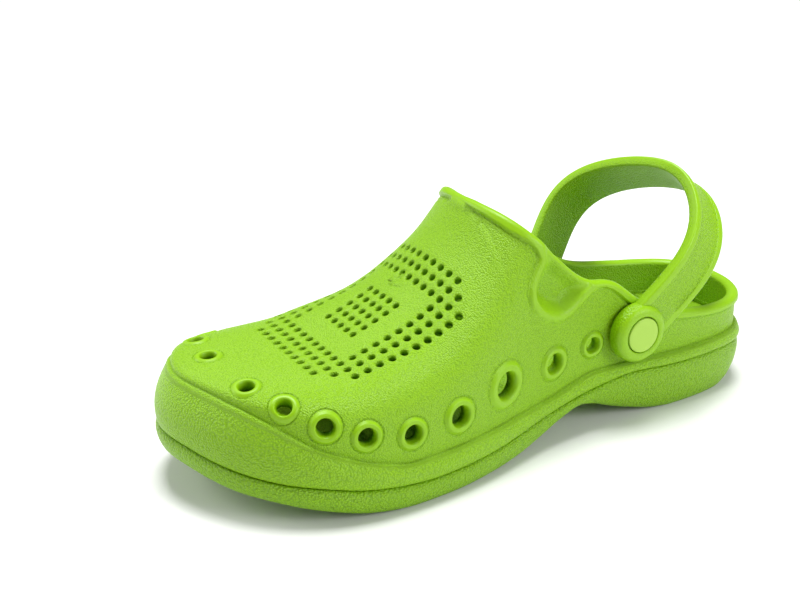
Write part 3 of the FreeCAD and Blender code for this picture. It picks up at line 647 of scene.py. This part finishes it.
def panel_patch(points, triangles, push, plain_count):
    """Replaces the sheet under the perforation pattern by a triangulation round every small hole."""
    flat = plane_coordinates(points)
    places = perforation_places()
    reach = 7.45 * PITCH
    close = (np.abs(flat[:, 0]) < reach) & (np.abs(flat[:, 1]) < reach) & (points[:, 2] > 46.0)
    close &= (np.abs(flat[:, 0]) + np.abs(flat[:, 1]) < 1.8 * reach)
    close[plain_count:] = False
    used = close[triangles].all(1)
    border = max(loops_of(open_edges(triangles[used])), key=len)
    triangles = triangles[~used]
    border, loop = anticlockwise(border, flat)
    circle = circle_of(HOLE_SEGMENTS, 0.5)
    inner = [place_at + circle * HOLE_RADIUS for place_at in places]
    halo = [place_at + circle * (HOLE_RADIUS + 0.35) for place_at in places]
    i, j = np.meshgrid(np.arange(-17, 18), np.arange(-17, 18), indexing="ij")
    grid = np.column_stack([i.ravel(), j.ravel()]) * PITCH * 0.5
    apart = np.min(np.linalg.norm(grid[:, None] - places[None], axis=2), 1)
    grid = grid[apart > HOLE_RADIUS + 0.9]
    grid = grid[inside_loop(grid, loop) & (distance_to_line(grid, np.vstack([loop, loop[:1]])) > 1.0)]
    verts, fill, came = fill_between(loop, inner, np.vstack(halo + [grid]))
    table = np.full(len(verts), -1)
    table[came[:len(border)]] = border
    fresh = np.nonzero(table < 0)[0]
    table[fresh] = len(points) + np.arange(len(fresh))
    new_points = plane_to_shell(verts[fresh])
    all_flat = np.vstack([flat, verts[fresh]])
    tri = facing(table[fill], all_flat)
    near = np.min(np.linalg.norm(verts[fresh][:, None] - places[None], axis=2), 1)
    sunk = np.zeros_like(new_points)
    sunk[:, 2] = -np.where(near < HOLE_RADIUS + 0.1, 0.25, 0.0)
    return np.vstack([points, new_points]), np.vstack([triangles, tri]), np.vstack([push, sunk])


def shell_sheet():
    """Outer sheet of the shell as (points, triangles, columns, rows)."""
    outer, inner = shell_columns()
    turns = np.concatenate([outer, inner[1:-1][::-1]])
    count = len(turns)
    last = len(outer) - 1
    rows = [band(turns, level) for level in BAND_LEVELS]
    angles = arch_angles(turns)
    angles[:, 0] = 0.0
    body = arch(turns[:, None], angles)
    grid = np.concatenate([np.stack(rows), np.transpose(body, (1, 0, 2))], 0)
    height = len(grid)
    index = np.arange(height * count).reshape(height, count)
    for j in range(BACK_COLUMNS, last):
        mirror = (2 * last - j) % count
        index[-1, mirror] = index[-1, j]
        grid[-1, j] = 0.5 * (grid[-1, j] + grid[-1, mirror])
    triangles = halves(quads_over(np.hstack([index, index[:, :1]])))
    flat = (triangles == np.roll(triangles, 1, 1)).any(1)
    triangles = triangles[~flat]
    points = grid.reshape(-1, 3)
    a, b, c = points[triangles[:, 0]], points[triangles[:, 1]], points[triangles[:, 2]]
    if np.sum(np.cross(b - a, c - a) * (points[triangles].mean(1) - np.array(SHELL_MIDDLE))) < 0:
        triangles = triangles[:, ::-1]
    return points, triangles, count, height


def thicken(points, triangles, push, inner, collar):
    """Closed skin: pushed outer sheet, inner sheet, straight walls at holes, half-round rim at the collar.

    A rim point is middle + span/2 cos(a) + outward RIM sin(a), for a from 0 to pi.
    """
    outer = points + push
    edges = open_edges(triangles)
    total = len(points)
    verts = [outer, inner]
    faces = [triangles, triangles[:, ::-1] + total]
    is_collar = collar[edges].all(1)
    plain = edges[~is_collar]
    quads = [np.column_stack([plain[:, 1], plain[:, 0], plain[:, 0] + total, plain[:, 1] + total])]
    rim = edges[is_collar]
    along = np.zeros_like(points)
    step = points[rim[:, 1]] - points[rim[:, 0]]
    np.add.at(along, rim[:, 0], step)
    np.add.at(along, rim[:, 1], step)
    on_rim = np.unique(rim)
    t = along[on_rim] / np.maximum(np.linalg.norm(along[on_rim], axis=1), 1e-9)[:, None]
    span = outer[on_rim] - inner[on_rim]
    outward = np.cross(t, span)
    outward /= np.maximum(np.linalg.norm(outward, axis=1), 1e-9)[:, None]
    previous = np.arange(total)
    start = 2 * total
    centre_line = 0.5 * (outer[on_rim] + inner[on_rim])
    for k in range(1, RIM_STEPS):
        a = math.pi * k / RIM_STEPS
        ring = centre_line + 0.5 * span * math.cos(a) + outward * RIM * math.sin(a)
        verts.append(ring)
        here = np.arange(total)
        here[on_rim] = start + np.arange(len(on_rim))
        quads.append(np.column_stack([previous[rim[:, 1]], previous[rim[:, 0]],
                                      here[rim[:, 0]], here[rim[:, 1]]]))
        previous = here
        start += len(on_rim)
    quads.append(np.column_stack([previous[rim[:, 1]], previous[rim[:, 0]],
                                  rim[:, 0] + total, rim[:, 1] + total]))
    return np.vstack(verts), [np.vstack(faces), np.vstack(quads)]


def make_shell(material):
    """Upper: the sheet with vents and small holes, pushed by its lip, scoop and lines, given its wall."""
    points, triangles, count, height = shell_sheet()
    collar_row = np.zeros(len(points), bool)
    top = np.arange(count) + (height - 1) * count
    in_back = np.ones(count, bool)
    in_back[BACK_COLUMNS + 1:BACK_COLUMNS + 2 * FRONT_COLUMNS] = False
    collar_row[top[in_back]] = True
    points, triangles, push, sleek = vent_patches(points, triangles)
    points, triangles, push = panel_patch(points, triangles, push, len(collar_row))
    collar = np.zeros(len(points), bool)
    collar[:len(collar_row)] = collar_row
    normals = vertex_normals(points, triangles)
    flat = points[:, [0, 2]]
    from_lip = distance_to_line(flat, LIP_LINE)
    behind_lip = inside_loop(flat, SCOOP_ZONE)
    under = below_collar(points)
    inward = np.where(behind_lip, from_lip, 0.0)
    scoop = SCOOP_DEPTH * smooth_step(2.2, 9.0, inward) * smooth_step(0.5, 8.0, under)
    lip = LIP_HEIGHT * np.where(behind_lip, 1 - smooth_step(2.4, 4.2, inward),
                                1 - smooth_step(0.0, 0.7, from_lip))
    ahead = np.where(behind_lip, 0, 1)
    line = -0.35 * np.exp(-((from_lip - 1.1) / 0.45)**2) * ahead
    line = line - 0.25 * np.exp(-((from_lip - 3.2) / 0.4)**2) * ahead * smooth_step(85, 100, flat[:, 0])
    push = push + normals * (lip - scoop + line)[:, None]
    wall_in = points - WALL * normals
    level = points[:, 2] - ease(FEATHER, np.clip(points[:, 0] / LENGTH, 0, 1))
    low = smooth_step(0.0, 7.0, level)
    marks = RING[::20]
    s = marks[np.argmin(np.hypot(points[:, None, 0] - marks[None, :, 0],
                                 points[:, None, 1] - marks[None, :, 1]), 1)]
    band_wall = np.column_stack([s[:, 0] - s[:, 2] * FOOT_INSET, s[:, 1] - s[:, 3] * FOOT_INSET, points[:, 2]])
    inner = band_wall * (1 - low[:, None]) + wall_in * low[:, None]
    verts, faces = thicken(points, triangles, push, inner, collar)
    smooth = np.zeros(len(verts))
    smooth[:len(points)] = np.clip(1 - smooth_step(0.0, 1.2, np.where(behind_lip, 0, from_lip))
                                   - 0.6 * smooth_step(5.0, 9.0, inward), 0, 1)
    smooth[:len(sleek)] = np.maximum(smooth[:len(sleek)], sleek)
    smooth[2 * len(points):] = 1.0
    coarse = np.zeros(len(verts))
    coarse[:len(points)] = 1 - smooth_step(-1.2, -0.2, level)
    return make_object("upper_shell_skin", place(verts), faces, material, "clog", "upper_shell",
                       attributes={"smooth": smooth, "coarse": coarse})


# ---- the sole ----

SOLE_COLUMNS = 880
PLEAT_PITCH = 11.6
PLEAT_DEPTH = 2.5
SIDE_ROWS = [(1.9, 1.0), (0.95, 0.985), (0.62, 0.95), (0.3, 0.88), (0.05, 0.8), (0.0, 0.7), (0.08, 0.6),
             (0.25, 0.5), (0.55, 0.4), (0.9, 0.31), (1.4, 0.22), (2.0, 0.14), (2.8, 0.07),
             (3.7, 0.03), (4.8, 0.0)]        # (inset, share of the height)
BOTTOM_INSETS = [4.8, 6.0, 7.0, 7.6, 8.2, 9.2, 10.6, 12.2, 13.8, 15.4, 16.8, 17.8,
                 18.4, 19.0, 19.6, 20.1, 20.6, 21.2, 22.0]


def sole_side(turns):
    """Side wall rows from the groove down to the rolled edge, as (rows, columns, 3)."""
    run, side, nr, ns = station(turns)
    f = run / LENGTH
    high = ease(SEAM, f)
    low = ease(GROUND, f)
    rows = []
    for inset, share in SIDE_ROWS:
        height = low + (high - low) * share
        rows.append(np.stack([run - nr * inset, side - ns * inset, height], -1))
    return np.stack(rows)


def pleat_height(girth, f):
    """Sawtooth of the tread pleats by distance round the edge, and where the sole has them: not the arch."""
    phase = girth / PLEAT_PITCH
    tooth = phase - np.floor(phase)
    saw = np.where(tooth < 0.7, tooth / 0.7, (1 - tooth) / 0.3)
    present = 1 - smooth_step(0.27, 0.30, f) * (1 - smooth_step(0.455, 0.485, f))
    return PLEAT_DEPTH * saw, present


def sole_bottom(turns):
    """Underside rows: flat rim, slanted pleats, fine bounding line, then the field up to the middle line."""
    run, side, nr, ns = station(turns)
    f = run / LENGTH
    low = ease(GROUND, f)
    arc = turns * GIRTH
    rows = []
    for inset in BOTTOM_INSETS:
        ended = smooth_step(17.4, 19.2, inset)
        saw, present = pleat_height(arc + 0.42 * (inset - 8.0), f)
        edge = smooth_step(7.2, 9.6, inset)
        sunk = ended * present + (1 - present) * smooth_step(6.5, 9.5, inset)
        height = present * edge * (1 - ended) * saw + FIELD_DEPTH * sunk
        height = height + 0.5 * math.exp(-((inset - 20.4) / 0.35)**2)
        rr = run - nr * inset
        z = ease(GROUND, np.clip(rr / LENGTH, 0, 1))
        z = z + (low - z) * (1 - smooth_step(4.8, 12.0, inset))
        rows.append(np.stack([rr, side - ns * inset, z + height], -1))
    edge_row = rows[-1]
    end = spine_run(run)
    end_side = spine_side(end) * np.clip((end / LENGTH - 0.4) / 0.3, 0, 1)
    for share in np.linspace(0.04, 1.0, 22):
        rr = edge_row[:, 0] + (end - edge_row[:, 0]) * share
        ss = edge_row[:, 1] + (end_side - edge_row[:, 1]) * share
        rows.append(np.stack([rr, ss, ease(GROUND, np.clip(rr / LENGTH, 0, 1)) + FIELD_DEPTH], -1))
    return np.stack(rows)


MOTIFS = [(0.865, 4.0, 17.0), (0.745, 24.0, 15.0), (0.735, -20.0, 19.0), (0.615, 17.0, 14.0),
          (0.590, -17.0, 12.5), (0.235, -13.0, 11.0), (0.215, 14.0, 10.0), (0.125, 1.0, 13.5)]


def motif_rings():
    """Raised bevelled rings of every sole pattern: broken outer ring, broken inner ring, centre disc."""
    points = []
    faces = []
    at = 0

    def ring(run, side, outer, inner, start, sweep, height, steps):
        nonlocal at
        section = [(outer, 0.6), (outer, -height + 0.35), (outer - 0.35, -height), (inner + 0.35, -height),
                   (inner, -height + 0.35), (inner, 0.6)]
        a = np.radians(start + np.linspace(0, sweep, steps))
        r = np.array([s[0] for s in section])
        z = np.array([s[1] for s in section])
        rr = run + np.cos(a)[:, None] * r
        ss = side + np.sin(a)[:, None] * r
        zz = ease(GROUND, rr / LENGTH) + FIELD_DEPTH + z[None]
        points.append(np.stack([rr, ss, zz], -1).reshape(-1, 3))
        n = len(section)
        faces.append(grid_faces(steps, n) + at)
        if sweep < 360:
            for k in (0, steps - 1):
                row = at + k * n
                faces.append(np.array([[row, row + 1, row + 4, row + 5], [row + 1, row + 2, row + 3, row + 4]]))
        at += steps * n

    for f, side, radius in MOTIFS:
        run = f * LENGTH
        wide = 0.16 * radius
        for start in (98.0, 278.0):
            ring(run, side, radius, radius - wide, start, 164.0, 1.4, 40)
        for start in (10.0, 190.0):
            ring(run, side, 0.66 * radius, 0.66 * radius - wide, start, 160.0, 1.4, 32)
        ring(run, side, 0.3 * radius, 0.02, 0.0, 360.0, 1.2, 40)
    return np.vstack(points), np.vstack(faces)


def make_sole(material):
    """Outsole: hidden top, side wall and underside as one skin, with the ring patterns standing in the field."""
    turns = np.arange(SOLE_COLUMNS) / SOLE_COLUMNS
    sides = sole_side(turns)
    bottom = sole_bottom(turns)
    run, side, nr, ns = station(turns)
    top = []
    for inset in (6.5, 14.0):
        rr = run - nr * inset
        top.append(np.stack([rr, side - ns * inset, ease(SEAM, run / LENGTH)], -1))
    end = spine_run(run)
    top.append(np.stack([end, spine_side(end), ease(SEAM, end / LENGTH)], -1))
    grid = np.concatenate([np.stack(top[::-1]), sides, bottom[1:]], 0)
    points = grid.reshape(-1, 3)
    faces = grid_faces(len(grid), SOLE_COLUMNS, wrap=True)
    ring_points, ring_faces = motif_rings()
    smooth = np.zeros(len(points) + len(ring_points))
    coarse = np.zeros_like(smooth)
    coarse[:(len(top) + len(sides)) * SOLE_COLUMNS] = 1.0
    return make_object("sole_skin", place(np.vstack([points, ring_points])),
                       np.vstack([faces, ring_faces + len(points)]), material, "clog", "outsole",
                       attributes={"smooth": smooth, "coarse": coarse})


# ---- the footbed ----

BED_GAP = 0.4               # between the footbed and the foot of the shell's wall
GROOVE_PITCH = 12.0
GROOVE_WAVE = 1.8


def make_footbed(material):
    """Insole: a flat bed over the sole with rounded wavy grooves, each a run offset by a sine of the side."""
    inset = FOOT_INSET + BED_GAP
    line = RING[:, :2] - RING[:, 2:] * inset
    toe = np.argmax(line[:, 0])
    runs_all = np.linspace(0, 1, 620)
    lo = line[0, 0]
    hi = line[toe, 0]
    runs = lo + (hi - lo) * (0.5 - 0.5 * np.cos(np.pi * runs_all)) * 0.5 + (hi - lo) * runs_all * 0.5
    outer = np.interp(runs, line[:toe + 1, 0], line[:toe + 1, 1])
    inner = np.interp(runs, line[toe:, 0][::-1], line[toe:, 1][::-1])
    across = np.linspace(0, 1, 56)
    across = 0.5 - 0.5 * np.cos(np.pi * across)
    side = inner[:, None] + (outer - inner)[:, None] * across[None]
    run = np.repeat(runs[:, None], len(across), 1)
    top = ease(SEAM, run / LENGTH) + FOOTBED
    half = np.minimum(0.30, 0.24 + 0.1 * np.abs(run / LENGTH - 0.4)) * WIDTH
    wave = run - GROOVE_WAVE * np.sin(side / half * 3 * math.pi) - 0.07 * LENGTH
    phase = np.abs((wave / GROOVE_PITCH + 0.5) % 1.0 - 0.5) * GROOVE_PITCH
    groove = 1.0 * (1 - smooth_step(0.55, 1.25, phase)) * (1 - smooth_step(half - 1.2, half, np.abs(side)))
    groove = groove * smooth_step(0.06, 0.065, run / LENGTH) * (1 - smooth_step(0.93, 0.935, run / LENGTH))
    upper = np.stack([run, side, top - groove], -1)
    floor = np.stack([run, side, ease(SEAM, run / LENGTH) + 0.02], -1)
    rows, columns = run.shape
    up = upper.reshape(-1, 3)
    down = floor.reshape(-1, 3)
    quads = grid_faces(rows, columns)
    index = np.arange(rows * columns).reshape(rows, columns)
    border = np.concatenate([index[0, :-1], index[:-1, -1], index[-1, ::-1][:-1], index[::-1, 0][:-1]])
    after = np.roll(border, -1)
    walls = np.column_stack([border, after, after + len(up), border + len(up)])
    return make_object("footbed_skin", place(np.vstack([up, down])),
                       np.vstack([quads[:, ::-1], quads + len(up), walls]), material, "clog", "footbed",
                       attributes={"smooth": np.zeros(2 * len(up))})


# ---- the strap ----

PIVOT = (84.0, 44.3)
STRAP_WIDTH = 22.0
STRAP_THICKNESS = 5.0
STRAP_REACH = 74.5
STRAP_ANGLE = math.radians(50.0)
STRAP_BOWS = (7.0, 14.0)
STRAP_SKEW = 9.0
STRAP_TWIST = 14.0
PAD_RISE = 0.6
PAD_GAP = 0.3               # between the pad and the strap's end
END_SEGMENTS = 96
END_SECTION = [(4.1, 0.0), (12.6, 0.0), (13.2, 0.25), (13.5, 0.9), (13.5, 4.4), (13.3, 5.3), (12.6, 6.3),
               (11.6, 7.1), (10.8, 7.4), (10.2, 7.5), (9.1, 7.5), (8.65, 7.3), (8.45, 6.9), (8.45, 5.6),
               (4.1, 5.6)]           # (radius, distance from the pad)
HEAD_SECTION = [(4.0, -13.0), (4.0, -1.6), (7.6, -1.6), (7.95, -1.3), (8.0, -0.9), (8.0, -0.2),
                (7.88, 0.08), (7.5, 0.2), (6.0, 0.22), (3.0, 0.24), (0.01, 0.25)]
WASHER_SECTION = [(0.01, -2.0), (5.8, -2.0), (6.6, -1.8), (6.95, -1.4), (7.0, -0.5), (7.0, 0.0), (0.01, 0.0)]
HEAD_STAND = 7.8            # a rivet head's face beyond the pad
WASHER_STAND = 5.7          # a washer's outer face inside the pad


def pad_side(outer):
    """Side coordinate of the flat pad under the strap end."""
    turns = np.linspace(0.02, 0.3, 2000) if outer else np.linspace(0.7, 0.98, 2000)
    fr, fs, tr, ts, low, high, power = arch_ends(turns)
    share = np.clip((PIVOT[1] - low) / (high - low), 0, 1)
    here = arch(turns, np.arcsin(share**(RISE_POWER / 2)))
    k = np.argmin(np.abs(here[:, 0] - PIVOT[0]))
    return here[k, 1] + (PAD_RISE if outer else -PAD_RISE)


def raised(points):
    """Strap-frame points (back from the pivot, side, out of plane) turned up to the rest angle."""
    back, side, out = points[..., 0], points[..., 1], points[..., 2]
    c, s = math.cos(STRAP_ANGLE), math.sin(STRAP_ANGLE)
    return np.stack([PIVOT[0] - back * c + out * s, side, PIVOT[1] + back * s + out * c], -1)


def make_strap(material):
    """Band swept round the heel; section with raised smooth edges and a sunk grainy middle on the outside.

    Its line is (reach sin t, middle + (half + bow sin^2 2t) cos t + skew sin^3 t), t from 0 to pi, and its
    twist lowers it by STRAP_TWIST cos t sin t.
    """
    right = pad_side(True) + PAD_GAP + 0.5 * STRAP_THICKNESS
    left = pad_side(False) - PAD_GAP - 0.5 * STRAP_THICKNESS
    middle, half = 0.5 * (right + left), 0.5 * (right - left)
    reach = STRAP_REACH - 0.5 * STRAP_THICKNESS
    turn = np.linspace(0, math.pi, 201)
    c, s = np.cos(turn), np.maximum(np.sin(turn), 0)
    arm = half + np.where(c > 0, *STRAP_BOWS) * np.sin(2 * turn)**2
    line = np.column_stack([reach * s, middle + arm * c + STRAP_SKEW * s**3])
    d = np.gradient(line, axis=0)
    d[0] = (1, 0)
    d[-1] = (-1, 0)
    d /= np.linalg.norm(d, axis=1)[:, None]
    outward = np.column_stack([-d[:, 1], d[:, 0]])
    half_w, half_t, round_r = 0.5 * STRAP_WIDTH, 0.5 * STRAP_THICKNESS, 1.1
    corner = np.linspace(0, 0.5 * math.pi, 6)
    w = [half_w - round_r + round_r * np.cos(corner), half_t - round_r + round_r * np.sin(corner)]
    outer_w = np.concatenate([w[0], [7.9, 7.4, 7.1, 6.6, 4.0, 0.0]])
    outer_t = np.concatenate([w[1], [2.5, 2.38, 2.0, 1.75, 1.72, 1.7]])
    dip = np.concatenate([np.zeros(6), [0, 0.12, 0.5, 0.75, 0.78, 0.8]])
    side_w = np.concatenate([outer_w, -outer_w[:-1][::-1]])
    side_t = np.concatenate([outer_t + dip, (outer_t + dip)[:-1][::-1]])
    dips = np.concatenate([dip, dip[:-1][::-1]])
    inner_w = np.concatenate([-w[0], [-6.0, 0.0, 6.0], w[0][::-1]])
    inner_t = np.concatenate([-w[1], [-2.5, -2.5, -2.5], -w[1][::-1]])
    sec_w = np.concatenate([side_w, inner_w[1:-1]])
    sec_t = np.concatenate([side_t, inner_t[1:-1]])
    dips = np.concatenate([dips, np.zeros(len(inner_w) - 2)])
    travelled = np.concatenate([[0], np.cumsum(np.linalg.norm(np.diff(line, axis=0), axis=1))])
    from_end = np.minimum(travelled, travelled[-1] - travelled)
    fade = smooth_step(17.0, 20.0, from_end)
    t_here = sec_t[None] - dips[None] * fade[:, None]
    flat = line[:, None, :] + outward[:, None, :] * t_here[..., None]
    rise = sec_w[None, :, None] - (STRAP_TWIST * c * s)[:, None, None]
    points = np.concatenate([flat, rise], 2)
    rows, columns = points.shape[:2]
    band_points = raised(points).reshape(-1, 3)
    faces = [grid_faces(rows, columns, wrap=True)]
    all_points = [band_points]
    at = len(band_points)
    smooth = [np.where(np.tile(dips, rows) > 0.4, 0.0, np.where(np.tile(sec_t, rows) > 1.0, 1.0, 0.25))]
    for outer in (True, False):
        sign = 1.0 if outer else -1.0
        around = np.linspace(0, 2 * math.pi, END_SEGMENTS, endpoint=False)
        r = np.array([p[0] for p in END_SECTION])
        x = pad_side(outer) + sign * PAD_GAP + sign * np.array([p[1] for p in END_SECTION])
        disc = np.stack([np.outer(np.cos(around), r), np.tile(x, (END_SEGMENTS, 1)),
                         np.outer(np.sin(around), r)], -1)
        n = len(END_SECTION)
        quads = grid_faces(END_SEGMENTS, n, wrap=True, close=True) + at
        faces.append(quads if outer else quads[:, ::-1])
        all_points.append(raised(disc).reshape(-1, 3))
        smooth.append(np.tile(np.where(r > 13.0, 0.4, 0.8), END_SEGMENTS))
        at += END_SEGMENTS * n
    return make_object("strap_skin", place(np.vstack(all_points)), np.vstack(faces), material, "strap",
                       "heel_strap", attributes={"smooth": np.concatenate(smooth)})


def lathe(section, sign, start, segments=72):
    """Closed solid turned round the pivot axis: (radius, distance along it) from the middle outward."""
    around = np.linspace(0, 2 * math.pi, segments, endpoint=False)
    r = np.array([p[0] for p in section])
    x = start + sign * np.array([p[1] for p in section])
    disc = np.stack([PIVOT[0] + np.outer(np.cos(around), r), np.tile(x, (segments, 1)),
                     PIVOT[1] + np.outer(np.sin(around), r)], -1)
    quads = grid_faces(segments, len(section), close=True)
    return disc.reshape(-1, 3), quads if sign > 0 else quads[:, ::-1]


def make_rivets(material):
    """Head with its shank outside, and washer inside, on both sides."""
    for name, outer in (("lateral", True), ("medial", False)):
        sign = 1.0 if outer else -1.0
        points, faces = lathe(HEAD_SECTION, sign, pad_side(outer) + sign * HEAD_STAND)
        make_object("rivet_head_" + name, place(points), faces, material, "rivet_" + name,
                    "rivet_button_" + name)
        points, faces = lathe(WASHER_SECTION, sign, pad_side(outer) - sign * WASHER_STAND)
        make_object("rivet_washer_" + name, place(points), faces, material, "rivet_" + name,
                    "rivet_cap_" + name)


# ---- finishes, with painted shade in the grain's pits ----

def pebble_group():
    """Shared grain: takes coordinates, a size and the smooth and coarse masks; gives a height and a painted-shade
    tone, darker in the grain's pits.
    """
    group = bpy.data.node_groups.new("pebble_grain", "ShaderNodeTree")
    face = group.interface
    face.new_socket("Vector", in_out="INPUT", socket_type="NodeSocketVector")
    for label, value in (("Grain", 900.0), ("Smooth", 0.0), ("Coarse", 0.0)):
        face.new_socket(label, in_out="INPUT", socket_type="NodeSocketFloat").default_value = value
    face.new_socket("Height", in_out="OUTPUT", socket_type="NodeSocketFloat")
    face.new_socket("PitShade", in_out="OUTPUT", socket_type="NodeSocketFloat")
    nodes, links = group.nodes, group.links
    source = nodes.new("NodeGroupInput")
    result = nodes.new("NodeGroupOutput")

    def math_node(kind, a, b):
        node = nodes.new("ShaderNodeMath")
        node.operation = kind
        for socket, value in zip(node.inputs, (a, b)):
            if isinstance(value, (int, float)):
                socket.default_value = value
            else:
                links.new(value, socket)
        return node.outputs[0]

    cells = nodes.new("ShaderNodeTexVoronoi")
    cells.feature = "F1"
    links.new(source.outputs["Vector"], cells.inputs["Vector"])
    finer = math_node("SUBTRACT", 1.0, math_node("MULTIPLY", source.outputs["Coarse"], 0.25))
    scale = math_node("MULTIPLY", source.outputs["Grain"], finer)
    links.new(scale, cells.inputs["Scale"])
    warp = nodes.new("ShaderNodeTexNoise")
    warp.inputs["Detail"].default_value = 3.0
    links.new(source.outputs["Vector"], warp.inputs["Vector"])
    links.new(math_node("MULTIPLY", scale, 0.42), warp.inputs["Scale"])
    height = math_node("ADD", math_node("MULTIPLY", cells.outputs["Distance"], -1.0),
                       math_node("MULTIPLY", warp.outputs["Fac"], 0.5))
    rough = math_node("SUBTRACT", 1.0, math_node("MULTIPLY", source.outputs["Smooth"], 0.9))
    taller = math_node("ADD", 1.0, math_node("MULTIPLY", source.outputs["Coarse"], 0.5))
    height = math_node("MULTIPLY", height, math_node("MULTIPLY", rough, taller))
    links.new(height, result.inputs["Height"])
    # Painted shade: the tone drops where the grain's cells sink into pits, less where the smooth mask holds.
    pit_shade = math_node("MULTIPLY", math_node("SUBTRACT", cells.outputs["Distance"], 0.35), rough)
    links.new(math_node("SUBTRACT", 0.85, pit_shade), result.inputs["PitShade"])
    return group


def rubber(name, base, pit_shade_colour, grain, pebble, roughness=0.42, bump=0.5):
    """Foamed rubber: base colour shading to a darker colour in the grain's pits as painted shade, pebble bump
    weakened by the smooth mask.
    """
    material = bpy.data.materials.new(name)
    material.use_nodes = True
    nodes, links = material.node_tree.nodes, material.node_tree.links
    shader = nodes["Principled BSDF"]
    shader.inputs["Roughness"].default_value = roughness
    shader.inputs["IOR"].default_value = 1.4
    coordinates = nodes.new("ShaderNodeTexCoord")
    group = nodes.new("ShaderNodeGroup")
    group.node_tree = pebble
    links.new(coordinates.outputs["Object"], group.inputs["Vector"])
    group.inputs["Grain"].default_value = grain
    for label, key in (("Smooth", "smooth"), ("Coarse", "coarse")):
        mask = nodes.new("ShaderNodeAttribute")
        mask.attribute_name = key
        links.new(mask.outputs["Fac"], group.inputs[label])
    # Painted shade: the base colour mixes toward the darker colour in the grain's pits.
    ramp = nodes.new("ShaderNodeMix")
    ramp.data_type = "RGBA"
    ramp.inputs["A"].default_value = pit_shade_colour
    ramp.inputs["B"].default_value = base
    spread = nodes.new("ShaderNodeMapRange")
    spread.inputs["From Min"].default_value = 0.45
    spread.inputs["From Max"].default_value = 0.95
    links.new(group.outputs["PitShade"], spread.inputs["Value"])
    links.new(spread.outputs["Result"], ramp.inputs["Factor"])
    links.new(ramp.outputs["Result"], shader.inputs["Base Color"])
    relief = nodes.new("ShaderNodeBump")
    relief.inputs["Strength"].default_value = bump
    relief.inputs["Distance"].default_value = 0.0008
    links.new(group.outputs["Height"], relief.inputs["Height"])
    links.new(relief.outputs["Normal"], shader.inputs["Normal"])
    return material


def linear(r, g, b):
    """Display colour (0 to 255) as linear light."""
    def one(v):
        v = v / 255
        return v / 12.92 if v <= 0.04045 else ((v + 0.055) / 1.055)**2.4
    return (one(r), one(g), one(b), 1.0)


pebble = pebble_group()
# Each rubber's second colour is painted shade for the grain's pits.
lime = rubber("lime_rubber", linear(136, 186, 3), linear(118, 166, 1), 1500.0, pebble)
sole_lime = rubber("lime_sole_rubber", linear(132, 182, 3), linear(112, 160, 1), 1400.0, pebble, bump=0.6)
bed_lime = rubber("lime_footbed_rubber", linear(136, 185, 6), linear(114, 162, 2), 1500.0, pebble)
strap_lime = rubber("lime_strap_rubber", linear(137, 187, 3), linear(119, 168, 1), 1500.0, pebble, roughness=0.36)
rivet_lime = bpy.data.materials.new("pale_lime_plastic")
rivet_lime.use_nodes = True
rivet_shader = rivet_lime.node_tree.nodes["Principled BSDF"]
rivet_shader.inputs["Base Color"].default_value = linear(156, 197, 62)
rivet_shader.inputs["Roughness"].default_value = 0.4

make_shell(lime)
make_sole(sole_lime)
make_footbed(bed_lime)
make_strap(strap_lime)
make_rivets(rivet_lime)


# ---- studio ----

def studio():
    """Pale floor, big soft lamps and the camera."""
    floor_mesh = bpy.data.meshes.new("floor")
    reach = 6.0
    floor_mesh.from_pydata([(-reach, -reach, 0), (reach, -reach, 0), (reach, reach, 0), (-reach, reach, 0)], [],
                           [(0, 1, 2, 3)])
    floor = bpy.data.objects.new("floor", floor_mesh)
    bpy.context.scene.collection.objects.link(floor)
    pale = bpy.data.materials.new("pale_floor")
    pale.use_nodes = True
    shader = pale.node_tree.nodes["Principled BSDF"]
    shader.inputs["Base Color"].default_value = (0.86, 0.86, 0.86, 1)
    shader.inputs["Roughness"].default_value = 0.6
    floor_mesh.materials.append(pale)
    target = Vector((-0.02, 0.0, 0.04))
    for label, spot, size, power in (("key", (-0.3, 0.1, 2.2), 1.0, 62.0), ("heel", (0.9, 0.55, 0.5), 0.5, 7.0),
                                     ("toe", (-0.6, -0.75, 0.5), 0.6, 5.0)):
        lamp = bpy.data.lights.new(label, "AREA")
        lamp.energy = power
        lamp.size = size
        obj = bpy.data.objects.new(label, lamp)
        obj.location = spot
        obj.rotation_mode = "QUATERNION"
        obj.rotation_quaternion = (target - Vector(spot)).to_track_quat("-Z", "Y")
        bpy.context.scene.collection.objects.link(obj)
    bpy.context.scene.view_settings.view_transform = "Standard"
    world = bpy.data.worlds.new("studio_air")
    bpy.context.scene.world = world
    world.use_nodes = True
    world.node_tree.nodes["Background"].inputs["Color"].default_value = (1, 1, 1, 1)
    world.node_tree.nodes["Background"].inputs["Strength"].default_value = 0.28
    lens = bpy.data.cameras.new("camera")
    lens.lens = 62.0
    camera = bpy.data.objects.new("camera", lens)
    camera.location = (0.4638, -0.3105, 0.2920)
    camera.rotation_mode = "QUATERNION"
    back = Vector((0.7965, -0.4654, 0.3859))
    camera.rotation_quaternion = (-back).to_track_quat("-Z", "Y")
    bpy.context.scene.collection.objects.link(camera)
    bpy.context.scene.camera = camera


studio()
